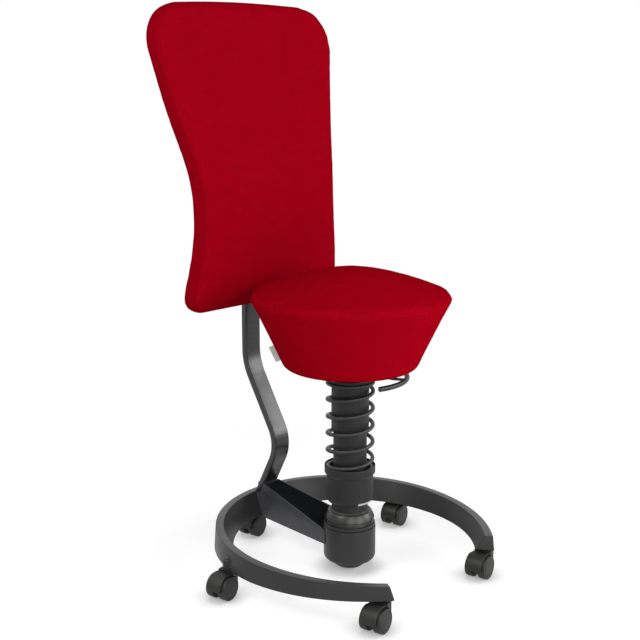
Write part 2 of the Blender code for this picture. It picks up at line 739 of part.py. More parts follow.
def build_column(root, black, steel, plastic):
    # A ring between two balls lets the column swing both ways about one point.
    swing_side = joint("swing_side", (0, 0, SWING), root)
    liner_profile = []
    for rise in (16.0, 24.0, 32.0):
        turn = math.radians(rise)
        liner_profile.append((LINER_OUTER * math.cos(turn), SWING + LINER_OUTER * math.sin(turn)))
    for rise in (32.0, 24.0, 16.0):
        turn = math.radians(rise)
        liner_profile.append((LINER_INNER * math.cos(turn), SWING + LINER_INNER * math.sin(turn)))
    piece("swing_liner", turned("swing_liner", liner_profile, 32), plastic, swing_side)

    stand = joint("swing_fore", (0, 0, SWING), swing_side)
    bore = STAND_RADIUS - STAND_WALL
    foot_bore = STAND_RADIUS - 5.7 * MM
    stand_profile = [
        (0, STAND_WEB - 6.0 * MM),
        (foot_bore, STAND_WEB - 6.0 * MM),
        (foot_bore, STAND_FOOT),
        (STAND_RADIUS, STAND_FOOT),
        (STAND_RADIUS, STAND_TOP),
        (bore, STAND_TOP),
        (bore, STAND_WEB),
        (0, STAND_WEB),
    ]
    piece("stand_tube", turned("stand_tube", stand_profile, 32), black, stand)
    ball = DOME_RADIUS - DOME_WALL
    neck_bore = STAND_RADIUS + FIT
    neck = STAND_RADIUS + 3.0 * MM
    rim = 12.0
    dome_profile = []
    # A bead bulges around the dome, and the neck rises behind the bead's upper edge.
    bead = DOME_RADIUS + 2.8 * MM
    crown = DOME_RADIUS - 0.6 * MM
    top_turn = math.degrees(math.acos(neck / crown))
    bulge = [(DOME_RADIUS, rim), (DOME_RADIUS, 15.5), (bead, 20.0), (bead, 27.5), (bead, 35.0)]
    for radius, rise in bulge + [(crown, 36.5), (crown, top_turn)]:
        turn = math.radians(rise)
        dome_profile.append((radius * math.cos(turn), SWING + radius * math.sin(turn)))
    dome_profile.append((neck, CUP_BOTTOM - 2.0 * MM))
    dome_profile.append((neck - 1.0 * MM, CUP_BOTTOM - 1.0 * MM))
    dome_profile.append((neck_bore, CUP_BOTTOM - 1.0 * MM))
    steps = 3
    top_turn = math.degrees(math.acos(neck_bore / ball))
    for k in range(steps + 1):
        turn = math.radians(top_turn + (rim - top_turn) * k / steps)
        dome_profile.append((ball * math.cos(turn), SWING + ball * math.sin(turn)))
    piece("dome_cap", turned("dome_cap", dome_profile, 32), black, stand)
    guide_bush = [
        (GUIDE_RADIUS + SLIDE, STAND_TOP - GUIDE_BUSH_LENGTH),
        (bore - FIT, STAND_TOP - GUIDE_BUSH_LENGTH),
        (bore - FIT, STAND_TOP + FIT),
        (STAND_RADIUS - 0.3 * MM, STAND_TOP + FIT),
        (STAND_RADIUS - 0.3 * MM, STAND_TOP + 3.0 * MM),
        (GUIDE_RADIUS + SLIDE, STAND_TOP + 3.0 * MM),
    ]
    piece("guide_bush", turned("guide_bush", guide_bush, 20), plastic, stand)

    # The hand-turned cup climbs the stand and lifts the spring.
    adjuster = joint("spring_adjust", (0, 0, CUP_FLOOR), stand)
    washer = [
        (COIL_INNER + 2.5 * MM, CUP_FLOOR + FIT),
        (COIL_OUTER + 0.1 * MM, CUP_FLOOR + FIT),
        (COIL_OUTER + 0.1 * MM, WASHER_TOP),
        (COIL_INNER + 2.5 * MM, WASHER_TOP),
    ]
    piece("spring_washer", turned("spring_washer", washer, 24), steel, adjuster)
    cup = joint("cup_turn", (0, 0, CUP_FLOOR), adjuster)
    skirt = CUP_RADIUS - 2.7 * MM
    cup_bore = STAND_RADIUS + SLIDE
    cup_profile = [
        (CUP_RADIUS - 6.0 * MM, CUP_BOTTOM),
        (CUP_RADIUS - 4.5 * MM, CUP_BOTTOM),
        (CUP_RADIUS, CUP_BOTTOM + 6.0 * MM),
        (CUP_RADIUS, CUP_TOP - 27.0 * MM),
        (LIP_RADIUS, CUP_TOP - 21.5 * MM),
        (LIP_RADIUS, CUP_TOP - 1.5 * MM),
        (LIP_RADIUS - 0.8 * MM, CUP_TOP),
        (LIP_BORE, CUP_TOP),
        (LIP_BORE, CUP_FLOOR),
        (cup_bore, CUP_FLOOR),
        (cup_bore, CUP_BOTTOM + 25.0 * MM),
        (cup_bore + 3.9 * MM, CUP_BOTTOM + 25.0 * MM),
        (cup_bore + 3.9 * MM, CUP_FLOOR - 6.5 * MM),
        (skirt, CUP_FLOOR - 6.5 * MM),
        (skirt, CUP_BOTTOM + 8.0 * MM),
    ]
    piece("spring_cup", turned("spring_cup", cup_profile, 32), black, cup)
    build_spring(adjuster, steel)

    bounce = joint("bounce", (0, 0, SLEEVE_TOP), adjuster)
    sleeve_profile = [
        (SLEEVE_BORE, SLEEVE_BOTTOM),
        (SLEEVE_RADIUS - 1.0 * MM, SLEEVE_BOTTOM),
        (SLEEVE_RADIUS, SLEEVE_BOTTOM + 1.0 * MM),
        (SLEEVE_RADIUS, PLATE_TOP + FIT),
        (SLEEVE_RADIUS + 3.5 * MM, PLATE_TOP + FIT),
        (SLEEVE_RADIUS + 3.5 * MM, SLEEVE_TOP),
        (GUIDE_RADIUS + FIT, SLEEVE_TOP),
        (GUIDE_RADIUS + FIT, SLEEVE_ROOF),
        (SLEEVE_BORE, SLEEVE_ROOF),
    ]
    piece("guide_sleeve", turned("guide_sleeve", sleeve_profile, 32), black, bounce)
    spigot = COIL_INNER - 0.4 * MM
    plate_bore = SLEEVE_RADIUS + FIT
    plate_edge = COIL_RADIUS + 2.2 * MM
    plate_profile = [
        (plate_bore, PLATE_UNDER - 10.5 * MM),
        (spigot, PLATE_UNDER - 10.5 * MM),
        (spigot, PLATE_UNDER - 2.5 * MM),
        (spigot + 3.0 * MM, PLATE_UNDER),
        (plate_edge, PLATE_UNDER),
        (plate_edge, PLATE_TOP - 2.1 * MM),
        (plate_edge - 1.5 * MM, PLATE_TOP),
        (plate_bore, PLATE_TOP),
    ]
    piece("spring_plate", turned("spring_plate", plate_profile, 32), black, bounce)
    guide_bore = GUIDE_RADIUS - GUIDE_WALL
    guide_profile = [
        (ROD_RADIUS + SLIDE, GUIDE_BOTTOM),
        (GUIDE_RADIUS, GUIDE_BOTTOM),
        (GUIDE_RADIUS, GUIDE_TOP),
        (guide_bore, GUIDE_TOP),
        (guide_bore, GUIDE_FLOOR),
        (ROD_RADIUS + SLIDE, GUIDE_FLOOR),
    ]
    piece("guide_tube", turned("guide_tube", guide_profile, 20), steel, bounce)
    bush_profile = [
        (CYLINDER_RADIUS + SLIDE, GUIDE_TOP - 40.0 * MM),
        (guide_bore - FIT, GUIDE_TOP - 40.0 * MM),
        (guide_bore - FIT, GUIDE_TOP + FIT),
        (GUIDE_RADIUS, GUIDE_TOP + FIT),
        (GUIDE_RADIUS, BUSH_TOP),
        (CYLINDER_RADIUS + SLIDE, BUSH_TOP),
    ]
    piece("gas_bush", turned("gas_bush", bush_profile, 20), plastic, bounce)
    bearing = [
        (ROD_RADIUS + 1.0 * MM, GUIDE_FLOOR + FIT),
        (CYLINDER_RADIUS, GUIDE_FLOOR + FIT),
        (CYLINDER_RADIUS, GUIDE_FLOOR + 5.0 * MM),
        (ROD_RADIUS + 1.0 * MM, GUIDE_FLOOR + 5.0 * MM),
    ]
    piece("thrust_bearing", turned("thrust_bearing", bearing, 12), steel, bounce)

    swivel = joint("seat_swivel", (0, 0, GUIDE_FLOOR), bounce)
    shoulder = GUIDE_FLOOR + 5.0 * MM + FIT
    piston = CYLINDER_BOTTOM + 10.0 * MM
    rod_profile = [
        (0, GUIDE_BOTTOM - 5.0 * MM),
        (ROD_RADIUS + 3.5 * MM, GUIDE_BOTTOM - 5.0 * MM),
        (ROD_RADIUS + 3.5 * MM, GUIDE_BOTTOM - FIT),
        (ROD_RADIUS, GUIDE_BOTTOM - FIT),
        (ROD_RADIUS, shoulder),
        (ROD_RADIUS + 3.0 * MM, shoulder),
        (ROD_RADIUS + 3.0 * MM, shoulder + 3.0 * MM),
        (ROD_RADIUS, shoulder + 3.0 * MM),
        (ROD_RADIUS, piston),
        (CYLINDER_RADIUS - 2.2 * MM, piston),
        (CYLINDER_RADIUS - 2.2 * MM, piston + 12.0 * MM),
        (0, piston + 12.0 * MM),
    ]
    piece("gas_rod", turned("gas_rod", rod_profile, 14), steel, swivel)
    return swivel


def coil_path():
    # One right-handed coil whose two ends ease flat against their plates.
    low = SPRING_BASE + WIRE / 2
    high = SPRING_TOP - WIRE / 2
    span = high - low
    first = -0.80
    last = 5.72
    soft = 2.2 * MM
    middle = (first + last) / 2
    count = int(round((last - first) * COIL_POINTS))
    path = []
    for k in range(count + 1):
        turns = first + (last - first) * k / count
        rise = span / 2 + COIL_PITCH * (turns - middle)
        lifted = soft * float(np.logaddexp(0.0, rise / soft))
        eased = span - soft * float(np.logaddexp(0.0, (span - lifted) / soft))
        angle = math.radians(131.7) + 2 * math.pi * turns
        z = low + max(eased, 0.0)
        path.append((COIL_RADIUS * math.cos(angle), COIL_RADIUS * math.sin(angle), z))
    return path


def build_spring(parent, steel):
    path = coil_path()
    points = np.array(path)
    apart = np.linalg.norm(points[:, None] - points[None], axis=2)
    order = np.arange(len(points))
    other_turn = np.abs(order[:, None] - order[None]) >= 6
    gap = apart[other_turn].min() - WIRE
    print(f"coil_spring: least gap to itself {gap / MM:.2f} mm")
    coil = tube("coil_spring", path, WIRE / 2, 1)
    piece("coil_spring", coil, steel, parent)


def side_at(z):
    return SEAT_FOOT + SEAT_SLOPE * (z - SEAT_KNEE)


def build_seat(swivel, fabric, black, steel, paper):
    seat = joint("seat_height", (0, 0, SEAT_PLATE), swivel)
    bore = CYLINDER_RADIUS + FIT
    cavity = CYLINDER_RADIUS - 1.8 * MM
    pin_bore = 4.0 * MM + FIT
    cylinder_profile = [
        (0, CYLINDER_TOP - 28.0 * MM),
        (cavity, CYLINDER_TOP - 28.0 * MM),
        (cavity, CYLINDER_BOTTOM + 6.0 * MM),
        (ROD_RADIUS + SLIDE, CYLINDER_BOTTOM + 6.0 * MM),
        (ROD_RADIUS + SLIDE, CYLINDER_BOTTOM),
        (CYLINDER_RADIUS, CYLINDER_BOTTOM),
        (CYLINDER_RADIUS, CYLINDER_TOP),
        (pin_bore, CYLINDER_TOP),
        (pin_bore, CYLINDER_TOP - 14.0 * MM),
        (0, CYLINDER_TOP - 14.0 * MM),
    ]
    piece("gas_cylinder", turned("gas_cylinder", cylinder_profile, 20), steel, seat)

    finger = 3.0 * MM
    pin_top = LEVER_PIVOT - finger - 0.6 * MM
    valve = joint("valve_press", (0, 0, pin_top), seat)
    valve_profile = [
        (0, CYLINDER_TOP - 10.5 * MM),
        (4.0 * MM, CYLINDER_TOP - 10.5 * MM),
        (4.0 * MM, pin_top),
        (0, pin_top),
    ]
    piece("valve_pin", turned("valve_pin", valve_profile, 12), steel, valve)

    shell_top = SEAT_PLATE - FIT
    plate_radius = side_at(shell_top) - SEAT_PAD - 8.0 * MM
    hub = bore + 5.7 * MM
    plate_profile = [
        (0, SEAT_PLATE - 0.5 * MM),
        (bore, SEAT_PLATE - 0.5 * MM),
        (bore, HUB_BOTTOM),
        (hub, HUB_BOTTOM),
        (hub, SEAT_PLATE),
        (plate_radius - 4.0 * MM, SEAT_PLATE),
        (plate_radius, SEAT_PLATE + 2.0 * MM),
        (plate_radius, SEAT_PLATE_TOP),
        (0, SEAT_PLATE_TOP),
    ]
    plate = turned("seat_plate", plate_profile, 32)
    # Around the lever X runs outwards along its arm and Y across it.
    face = Matrix.Rotation(math.radians(LEVER_ANGLE - 90), 4, "Z")
    pivot = hub + 7.0 * MM
    pin = 2.5 * MM
    across = Matrix.Translation((pivot, 0, LEVER_PIVOT)) @ Matrix.Rotation(math.radians(90), 4, "X")
    ears = []
    for low, high in ((-9.0, -6.0), (6.0, 9.0)):
        ear = box(
            "ear",
            (hub - 1.0 * MM, low * MM, LEVER_PIVOT - 7.0 * MM),
            (pivot + 6.0 * MM, high * MM, SEAT_PLATE + 1.0 * MM),
        )
        ear.transform(face)
        ears.append(ear)
    slot = box(
        "slot",
        (CYLINDER_RADIUS - 4.0 * MM, -5.8 * MM, CYLINDER_TOP + 2.0 * MM),
        (hub + 3.0 * MM, 5.8 * MM, SEAT_PLATE - 0.5 * MM),
    )
    slot.transform(face)
    eye = rod("eye", pin + FIT, -20.0 * MM, 20.0 * MM, 10, face @ across)
    plate = combined(plate, ears, [slot, eye])
    piece("seat_plate", plate, steel, seat, sharp=25)
    half_pin = 10.0 * MM
    lever_pin = rod("lever_pin", pin, -half_pin, half_pin, 10, face @ across)
    piece("lever_pin", lever_pin, steel, seat)

    shell_low = SEAT_BOTTOM + 3.5 * MM
    wall = 3.0 * MM

    def shell_at(z):
        return side_at(z) - SEAT_PAD

    shell_profile = [
        (SHELL_HOLE, shell_low),
        (shell_at(shell_low) - 3.0 * MM, shell_low),
        (shell_at(shell_low + wall), shell_low + wall),
        (shell_at(shell_top), shell_top),
        (plate_radius - 14.0 * MM, shell_top),
        (plate_radius - 14.0 * MM, shell_top - wall),
        (shell_at(shell_top - wall) - wall, shell_top - wall),
        (shell_at(shell_low + wall) - wall - 1.0 * MM, shell_low + wall),
        (SHELL_HOLE, shell_low + wall),
    ]
    shell = turned("seat_shell", shell_profile, 36)
    gate = box(
        "gate",
        (SHELL_HOLE - 10.0 * MM, -8.0 * MM, shell_low - 5.0 * MM),
        (CRANK_REACH + 22.0 * MM, 8.0 * MM, shell_low + 8.0 * MM),
    )
    gate.transform(face)
    piece("seat_shell", combined(shell, [], [gate]), black, seat)

    # The cover runs from under the shell's lower edge, up the cone and over the crown.
    gap = 0.4 * MM
    top = SEAT_RIM + 7.0 * MM
    edge = SEAT_RADIUS - 2.0 * MM
    profile = [(0, SEAT_PLATE_TOP + FIT)]
    profile.append((plate_radius + 1.0 * MM, SEAT_PLATE_TOP + FIT))
    profile.append((plate_radius + 1.0 * MM, SEAT_PLATE + 3.0 * MM))
    profile.append((shell_at(shell_top) + 0.6 * MM, shell_top + 0.6 * MM))
    profile.append((shell_at(shell_low + wall) + gap, shell_low + wall))
    profile.append((shell_at(shell_low) - 3.0 * MM + gap, shell_low - gap))
    profile.append((SEAT_FOOT - 22.0 * MM, shell_low - gap))
    profile.append((SEAT_FOOT - 18.0 * MM, SEAT_BOTTOM + 0.2 * MM))
    profile.append((SEAT_FOOT - 11.0 * MM, SEAT_BOTTOM))
    profile.append((SEAT_FOOT - 5.0 * MM, SEAT_BOTTOM + 2.5 * MM))
    profile.append((SEAT_FOOT - 0.8 * MM, SEAT_KNEE - 1.6 * MM))
    profile.append((side_at(SEAT_KNEE + 45 * MM) - 0.8 * MM, SEAT_KNEE + 45 * MM))
    profile.append((side_at(SEAT_KNEE + 90 * MM) - 0.8 * MM, SEAT_KNEE + 90 * MM))
    profile.append((side_at(SEAT_RIM - 8.0 * MM), SEAT_RIM - 8.0 * MM))
    profile.append((SEAT_RADIUS - 0.5 * MM, SEAT_RIM - 1.5 * MM))
    profile.append((SEAT_RADIUS, SEAT_RIM + 1.5 * MM))
    profile.append((SEAT_RADIUS - 1.6 * MM, SEAT_RIM + 5.0 * MM))
    for share in (0.975, 0.91, 0.80, 0.66, 0.50, 0.34, 0.17):
        profile.append((share * edge, top + SEAT_CROWN * (1 - share**1.6)))
    profile.append((0, top + SEAT_CROWN))
    piece("seat_cushion", turned("seat_cushion", profile, 36), fabric, seat, sharp=60)

    # A blank tag sewn into the cover stands out from the rear right side of the cone.
    low = SEAT_KNEE + 4.0 * MM
    high = SEAT_KNEE + 36.0 * MM
    start = 0.4 * MM
    out = 12.0 * MM
    thin = 0.5 * MM
    flat = [
        (side_at(low) + start, low),
        (side_at(low) + out, low - 5.0 * MM),
        (side_at(high) + out, high - 5.0 * MM),
        (side_at(high) + start, high),
    ]
    tag = lofted("sewn_tag", [[(r, -thin, z) for r, z in flat], [(r, thin, z) for r, z in flat]])
    tag.transform(Matrix.Rotation(math.radians(131.7), 4, "Z"))
    piece("sewn_tag", tag, paper, seat)

    lever = joint("lever_lift", face @ Vector((pivot, 0, LEVER_PIVOT)), seat)
    bend = 14.0 * MM
    path = [(-4.0 * MM, 0, LEVER_PIVOT)]
    path.append((pivot, 0, LEVER_PIVOT))
    for x, z in arc((CRANK_REACH - bend, LEVER_PIVOT - bend), bend, 90, 0, 4):
        path.append((x, 0, z))
    for x, z in arc((CRANK_REACH + bend, LEVER_LEVEL + bend), bend, 180, 270, 4):
        path.append((x, 0, z))
    path.append((LEVER_REACH, 0, LEVER_LEVEL))
    crank = baked(tube("crank", path, finger, 1))
    half_bow = 46.5
    bow_path = []
    for k in range(15):
        turn = math.radians(-half_bow + 2 * half_bow * k / 14)
        bow_path.append((LEVER_REACH * math.cos(turn), LEVER_REACH * math.sin(turn), LEVER_LEVEL))
    bow = baked(tube("bow", bow_path, LEVER_ROD, 2))
    boss = box(
        "boss",
        (pivot - 5.0 * MM, -5.6 * MM, LEVER_PIVOT - 5.5 * MM),
        (pivot + 5.5 * MM, 5.6 * MM, LEVER_PIVOT + 5.5 * MM),
    )
    hole = rod("hole", pin + SLIDE, -20.0 * MM, 20.0 * MM, 10, across)
    handle = combined(bow, [crank, boss], [hole])
    handle.transform(face)
    piece("release_lever", handle, steel, lever, sharp=40)


def bar_path():
    # The bar's centre line in the YZ plane: an upright, a slant to the knee and a foot.
    end_z = ring_top(RING_INNER) + BAR_LIFT
    end = (RING_INNER - FOOT_INSET, end_z)
    knee_z = RING_BOTTOM + KNEE_HEIGHT
    knee = (end[0] - FOOT_SLANT * (knee_z - end_z), knee_z)
    shoulder = (BAR_SETBACK, knee_z + (BAR_SETBACK - knee[0]) / KNEE_SLANT)
    top = (BAR_SETBACK, BACK_BOTTOM + BAR_OVERLAP)
    return top, shoulder, knee, end


def rounded_corner(before, corner, after, radius, steps):
    # An arc that joins two straight runs, as (point, direction) pairs.
    a = (Vector(corner) - Vector(before)).normalized()
    b = (Vector(after) - Vector(corner)).normalized()
    turn = a.angle(b)
    reach = radius * math.tan(turn / 2)
    side = Vector((-a.y, a.x))
    if side.dot(b) < 0:
        side = -side
    start = Vector(corner) - a * reach
    centre = start + side * radius
    stations = []
    for k in range(steps + 1):
        angle = turn * k / steps
        heading = a * math.cos(angle) + side * math.sin(angle)
        outward = side * math.cos(angle) - a * math.sin(angle)
        stations.append((centre - outward * radius, heading))
    return stations


def bar_front_line():
    top, shoulder, knee, end = bar_path()
    slope = (end[0] - knee[0]) / (end[1] - knee[1])
    lead = BAR_THICKNESS / 2 * math.sqrt(1 + slope**2)

    def front(z):
        return knee[0] + slope * (z - knee[1]) - lead

    return front


def bolt_frame(side):
    # Z runs out of the bar's foot through its rear face, from the middle of the bar.
    top, shoulder, knee, end = bar_path()
    along = (Vector(end) - Vector(knee)).normalized()
    out = Vector((0, -along.y, along.x))
    if out.y < 0:
        out = -out
    centre = Vector(end) - along * 15.0 * MM
    x = Vector((1, 0, 0))
    y = out.cross(x)
    place = Vector((side * 11.0 * MM, centre.x, centre.y))
    frame = Matrix((x, y, out)).transposed().to_4x4()
    return Matrix.Translation(place) @ frame


def build_back(root, paint, black, fabric, steel):
    top, shoulder, knee, end = bar_path()
    stations = [(Vector(top), Vector((0, -1)))]
    stations += rounded_corner(top, shoulder, knee, SHOULDER_ROUND, 4)
    stations += rounded_corner(shoulder, knee, end, KNEE_ROUND, 6)
    stations.append((Vector(end), (Vector(end) - Vector(knee)).normalized()))
    half = BAR_WIDTH / 2
    thick = BAR_THICKNESS / 2
    soft = 4.0 * MM
    section = []
    for sx, sy, first in ((1, 1, 0), (-1, 1, 90), (-1, -1, 180), (1, -1, 270)):
        centre = (sx * (half - soft), sy * (thick - soft))
        section += arc(centre, soft, first, first + 90, 2)
    loops = []
    for place, heading in stations:
        across = Vector((-heading.y, heading.x))
        loop = []
        for x, offset in section:
            spot = place + across * offset
            if place == stations[-1][0]:
                spot = spot - heading * ((spot.y - end[1]) / heading.y)
            loop.append((x, spot.x, spot.y))
        loops.append(loop)
    bar = lofted("back_bar", loops)
    holes = []
    for side in (-1, 1):
        holes.append(rod("hole", 4.0 * MM + FIT, -30.0 * MM, 30.0 * MM, 10, bolt_frame(side)))
    piece("back_bar", combined(bar, [], holes), paint, root, sharp=40)
    for side, label in ((-1, "right"), (1, "left")):
        head = thick + FIT
        bolt_profile = [
            (0, -19.0 * MM),
            (4.0 * MM, -19.0 * MM),
            (4.0 * MM, head),
            (7.0 * MM, head),
            (7.0 * MM, head + 3.0 * MM),
            (5.0 * MM, head + 4.5 * MM),
            (0, head + 4.5 * MM),
        ]
        bolt = turned("bolt", bolt_profile, 10)
        bolt.transform(bolt_frame(side))
        piece(f"bar_bolt_{label}", bolt, steel, root)

    # Half width and set-back of the back's front edge, from its foot to its top.
    shares = (0.0, 0.075, 0.15, 0.31, 0.46, 0.61, 0.77, 1.0)
    widths = (
        BACK_WAIST + BACK_FOOT_FLARE,
        BACK_WAIST + BACK_FOOT_FLARE,
        BACK_WAIST + 0.6 * BACK_FOOT_FLARE,
        BACK_WAIST,
        BACK_WAIST + 0.09 * BACK_TOP_FLARE,
        BACK_WAIST + 0.41 * BACK_TOP_FLARE,
        BACK_WAIST + 0.71 * BACK_TOP_FLARE,
        BACK_WAIST + BACK_TOP_FLARE,
    )
    setbacks = (
        LUMBAR_SETBACK + FOOT_LEAN,
        LUMBAR_SETBACK + 0.56 * FOOT_LEAN,
        LUMBAR_SETBACK + 0.22 * FOOT_LEAN,
        LUMBAR_SETBACK,
        LUMBAR_SETBACK + 0.11 * BACK_LEAN,
        LUMBAR_SETBACK + 0.41 * BACK_LEAN,
        LUMBAR_SETBACK + 0.68 * BACK_LEAN,
        LUMBAR_SETBACK + BACK_LEAN,
    )
    levels = [BACK_BOTTOM + BACK_HEIGHT * share for share in shares]
    width_at = natural_spline(levels, widths)
    front_at = natural_spline(levels, setbacks)

    def thickness_at(z):
        share = (z - BACK_BOTTOM) / BACK_HEIGHT
        return BACK_THICKNESS - 6.0 * MM * min(max((share - 0.5) / 0.25, 0.0), 1.0)

    def half_width(z, inset):
        low = z - BACK_BOTTOM - inset
        high = BACK_TOP - z - inset
        width = width_at(z) - inset
        foot = BACK_FOOT_ROUND - 0.5 * inset
        head = BACK_TOP_ROUND - 0.5 * inset
        if low < foot:
            width += math.sqrt(max(foot**2 - (foot - low) ** 2, 0.0)) - foot
        if high < head:
            width += math.sqrt(max(head**2 - (head - high) ** 2, 0.0)) - head
        return width

    def arch(x, z):
        share = min(max((z - BACK_BOTTOM) / BACK_HEIGHT - 0.75, 0.0) / 0.25, 1.0)
        return z - BACK_ARCH * share * (x / (BACK_WAIST + BACK_TOP_FLARE)) ** 2

    edge_steps = [BACK_EDGE_ROUND * share for share in (0.04, 0.2, 0.5, 1.0)]
    head_steps = [BACK_TOP_ROUND * share for share in (0.4, 0.65, 1.0)]
    heights = [BACK_BOTTOM + step for step in edge_steps + [BACK_FOOT_ROUND]]
    first = heights[-1]
    last = BACK_TOP - BACK_TOP_ROUND
    for k in range(1, 10):
        heights.append(first + (last - first) * k / 10)
    heights += [BACK_TOP - step for step in reversed(edge_steps + head_steps)]
    loops = []
    for z in heights:
        nearest = min(z - BACK_BOTTOM, BACK_TOP - z, BACK_EDGE_ROUND)
        fullness = math.sqrt(1 - (1 - nearest / BACK_EDGE_ROUND) ** 2)
        thick = thickness_at(z) * fullness
        middle = front_at(z) + thickness_at(z) / 2
        half = half_width(z, 0.0)
        soft = min(13.0 * MM, 0.48 * thick)
        crown = 4.0 * MM * fullness * math.sin(math.pi * (z - BACK_BOTTOM) / BACK_HEIGHT)
        front = middle - thick / 2
        rear = middle + thick / 2
        reach = half - soft
        loop = []
        for k in range(9):
            x = reach * (k / 4 - 1)
            loop.append((x, front - crown * (1 - (x / reach) ** 2)))
        loop += arc((reach, front + soft), soft, -45, 0, 1)
        loop += arc((reach, rear - soft), soft, 0, 45, 1)
        for k in range(5):
            loop.append((reach * (1 - k / 2), rear))
        loop += arc((-reach, rear - soft), soft, 135, 180, 1)
        loop += arc((-reach, front + soft), soft, 180, 225, 1)
        loops.append([(x, y, arch(x, z)) for x, y in loop])
    piece("back_cushion", lofted("back_cushion", loops), fabric, root, sharp=60)

    inset = 22.0 * MM
    plate = 5.0 * MM
    shell_heights = [*heights[4:15], BACK_TOP - 0.6 * BACK_TOP_ROUND, BACK_TOP - inset]
    loops = []
    for z in shell_heights:
        near = front_at(z) + thickness_at(z) + 0.5 * MM
        reach = half_width(z, inset)
        loop = [(-reach, near), (0.0, near), (reach, near)]
        loop += [(reach, near + plate), (0.0, near + plate), (-reach, near + plate)]
        loops.append([(x, y, arch(x, z)) for x, y in loop])
    piece("back_shell", lofted("back_shell", loops), black, root, sharp=40)
    loops = []
    for z in heights[5:9]:
        near = front_at(z) + thickness_at(z) + 0.5 * MM + plate + FIT
        far = BAR_SETBACK - BAR_THICKNESS / 2 - FIT
        corners = [(-BRACKET_HALF, near), (BRACKET_HALF, near), (BRACKET_HALF, far), (-BRACKET_HALF, far)]
        loops.append([(x, y, z) for x, y in corners])
    piece("back_bracket", lofted("back_bracket", loops), paint, root, sharp=25)


JOINT_PLACES = {}
clear_scene()
paint = look("anthracite_paint", (0.05, 0.05, 0.052), 0.42, 0.5)
black = look("black_plastic", (0.015, 0.015, 0.017), 0.45, 0.0)
dark = look("caster_plastic", (0.02, 0.02, 0.019), 0.5, 0.0)
rubber = look("black_rubber", (0.012, 0.012, 0.012), 0.85, 0.0)
plastic = look("bearing_plastic", (0.5, 0.5, 0.46), 0.5, 0.0)
steel = look("dark_steel", (0.12, 0.12, 0.122), 0.35, 1.0)
fabric = look("red_fabric", (0.28, 0.0, 0.006), 0.9, 0.0)
paper = look("tag_fabric", (0.8, 0.8, 0.78), 0.8, 0.0)
stool = joint("stool", (0, 0, 0))
build_base(stool, paint, black, rubber, steel)
for number, angle in enumerate(caster_angles(), 1):
    build_caster(number, angle, stool, dark, steel)
seat_swivel = build_column(stool, black, steel, plastic)
build_seat(seat_swivel, fabric, black, steel, paper)
build_back(stool, paint, black, fabric, steel)
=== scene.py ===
from functools import partial
from math import atan2, copysign, cos, degrees, pi, radians, sin, sqrt, tan

import bmesh
import bpy
import numpy as np
from mathutils import Matrix, Vector
from mathutils.bvhtree import BVHTree


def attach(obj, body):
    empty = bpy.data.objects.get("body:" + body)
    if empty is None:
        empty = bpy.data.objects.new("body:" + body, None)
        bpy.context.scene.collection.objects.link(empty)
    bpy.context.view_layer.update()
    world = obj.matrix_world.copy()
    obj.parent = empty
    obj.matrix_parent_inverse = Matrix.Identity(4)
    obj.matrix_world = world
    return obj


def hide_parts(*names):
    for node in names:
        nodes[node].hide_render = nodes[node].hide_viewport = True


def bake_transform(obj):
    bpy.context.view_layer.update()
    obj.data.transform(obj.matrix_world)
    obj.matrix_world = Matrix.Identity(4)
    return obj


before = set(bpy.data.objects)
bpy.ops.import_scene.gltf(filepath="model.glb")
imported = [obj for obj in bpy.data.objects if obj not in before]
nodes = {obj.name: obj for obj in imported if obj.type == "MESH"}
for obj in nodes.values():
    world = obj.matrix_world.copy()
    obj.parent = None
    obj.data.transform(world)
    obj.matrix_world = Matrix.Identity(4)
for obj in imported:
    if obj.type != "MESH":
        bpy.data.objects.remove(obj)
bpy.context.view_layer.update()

scene = bpy.context.scene
mm = 0.001


def linked(name, data):  # a new object in the scene
    obj = bpy.data.objects.new(name, data)
    scene.collection.objects.link(obj)
    return obj


# camera

viewpoint = {
    "place": (-1.80031, -1.60521, 1.07450),
    "azimuth": -48.28,
    "yaw": -1.52,
    "pitch": 12.29,
    "lens": 66.709,
}


def setCamera():
    azimuth, yaw, pitch = (radians(viewpoint[k]) for k in ("azimuth", "yaw", "pitch"))
    ahead = Vector((-sin(azimuth), cos(azimuth), 0))
    right = Vector((cos(azimuth), sin(azimuth), 0))
    level = ahead * cos(yaw) + right * sin(yaw)
    right = right * cos(yaw) - ahead * sin(yaw)
    sight = level * cos(pitch) - Vector((0, 0, 1)) * sin(pitch)
    data = bpy.data.cameras.new("studioCamera")
    data.sensor_width = 36
    data.lens = viewpoint["lens"]
    turn = Matrix((right, right.cross(sight), -sight)).transposed().to_4x4()
    scene.camera = linked("studioCamera", data)
    scene.camera.matrix_world = Matrix.Translation(viewpoint["place"]) @ turn


setCamera()


# small helpers for materials

def linear(hexText):  # sRGB hex to a linear colour
    channels = [int(hexText[i:i + 2], 16) / 255 for i in (1, 3, 5)]
    return [c / 12.92 if c <= 0.04045 else ((c + 0.055) / 1.055) ** 2.4 for c in channels] + [1.0]


def fillNode(node, settings, links=()):  # settings go to the node's options or to its sockets
    for name, value in settings.items():
        if isinstance(name, str) and hasattr(node, name):
            setattr(node, name, value)
        else:
            node.inputs[name].default_value = value
    for name, source in dict(links).items():  # a node given as a source means its first output
        source = source.outputs[0] if isinstance(source, bpy.types.Node) else source
        node.id_data.links.new(source, node.inputs[name])
    return node


def addNode(tree, kind, settings, links=()):
    return fillNode(tree.nodes.new("ShaderNode" + kind), settings, links)


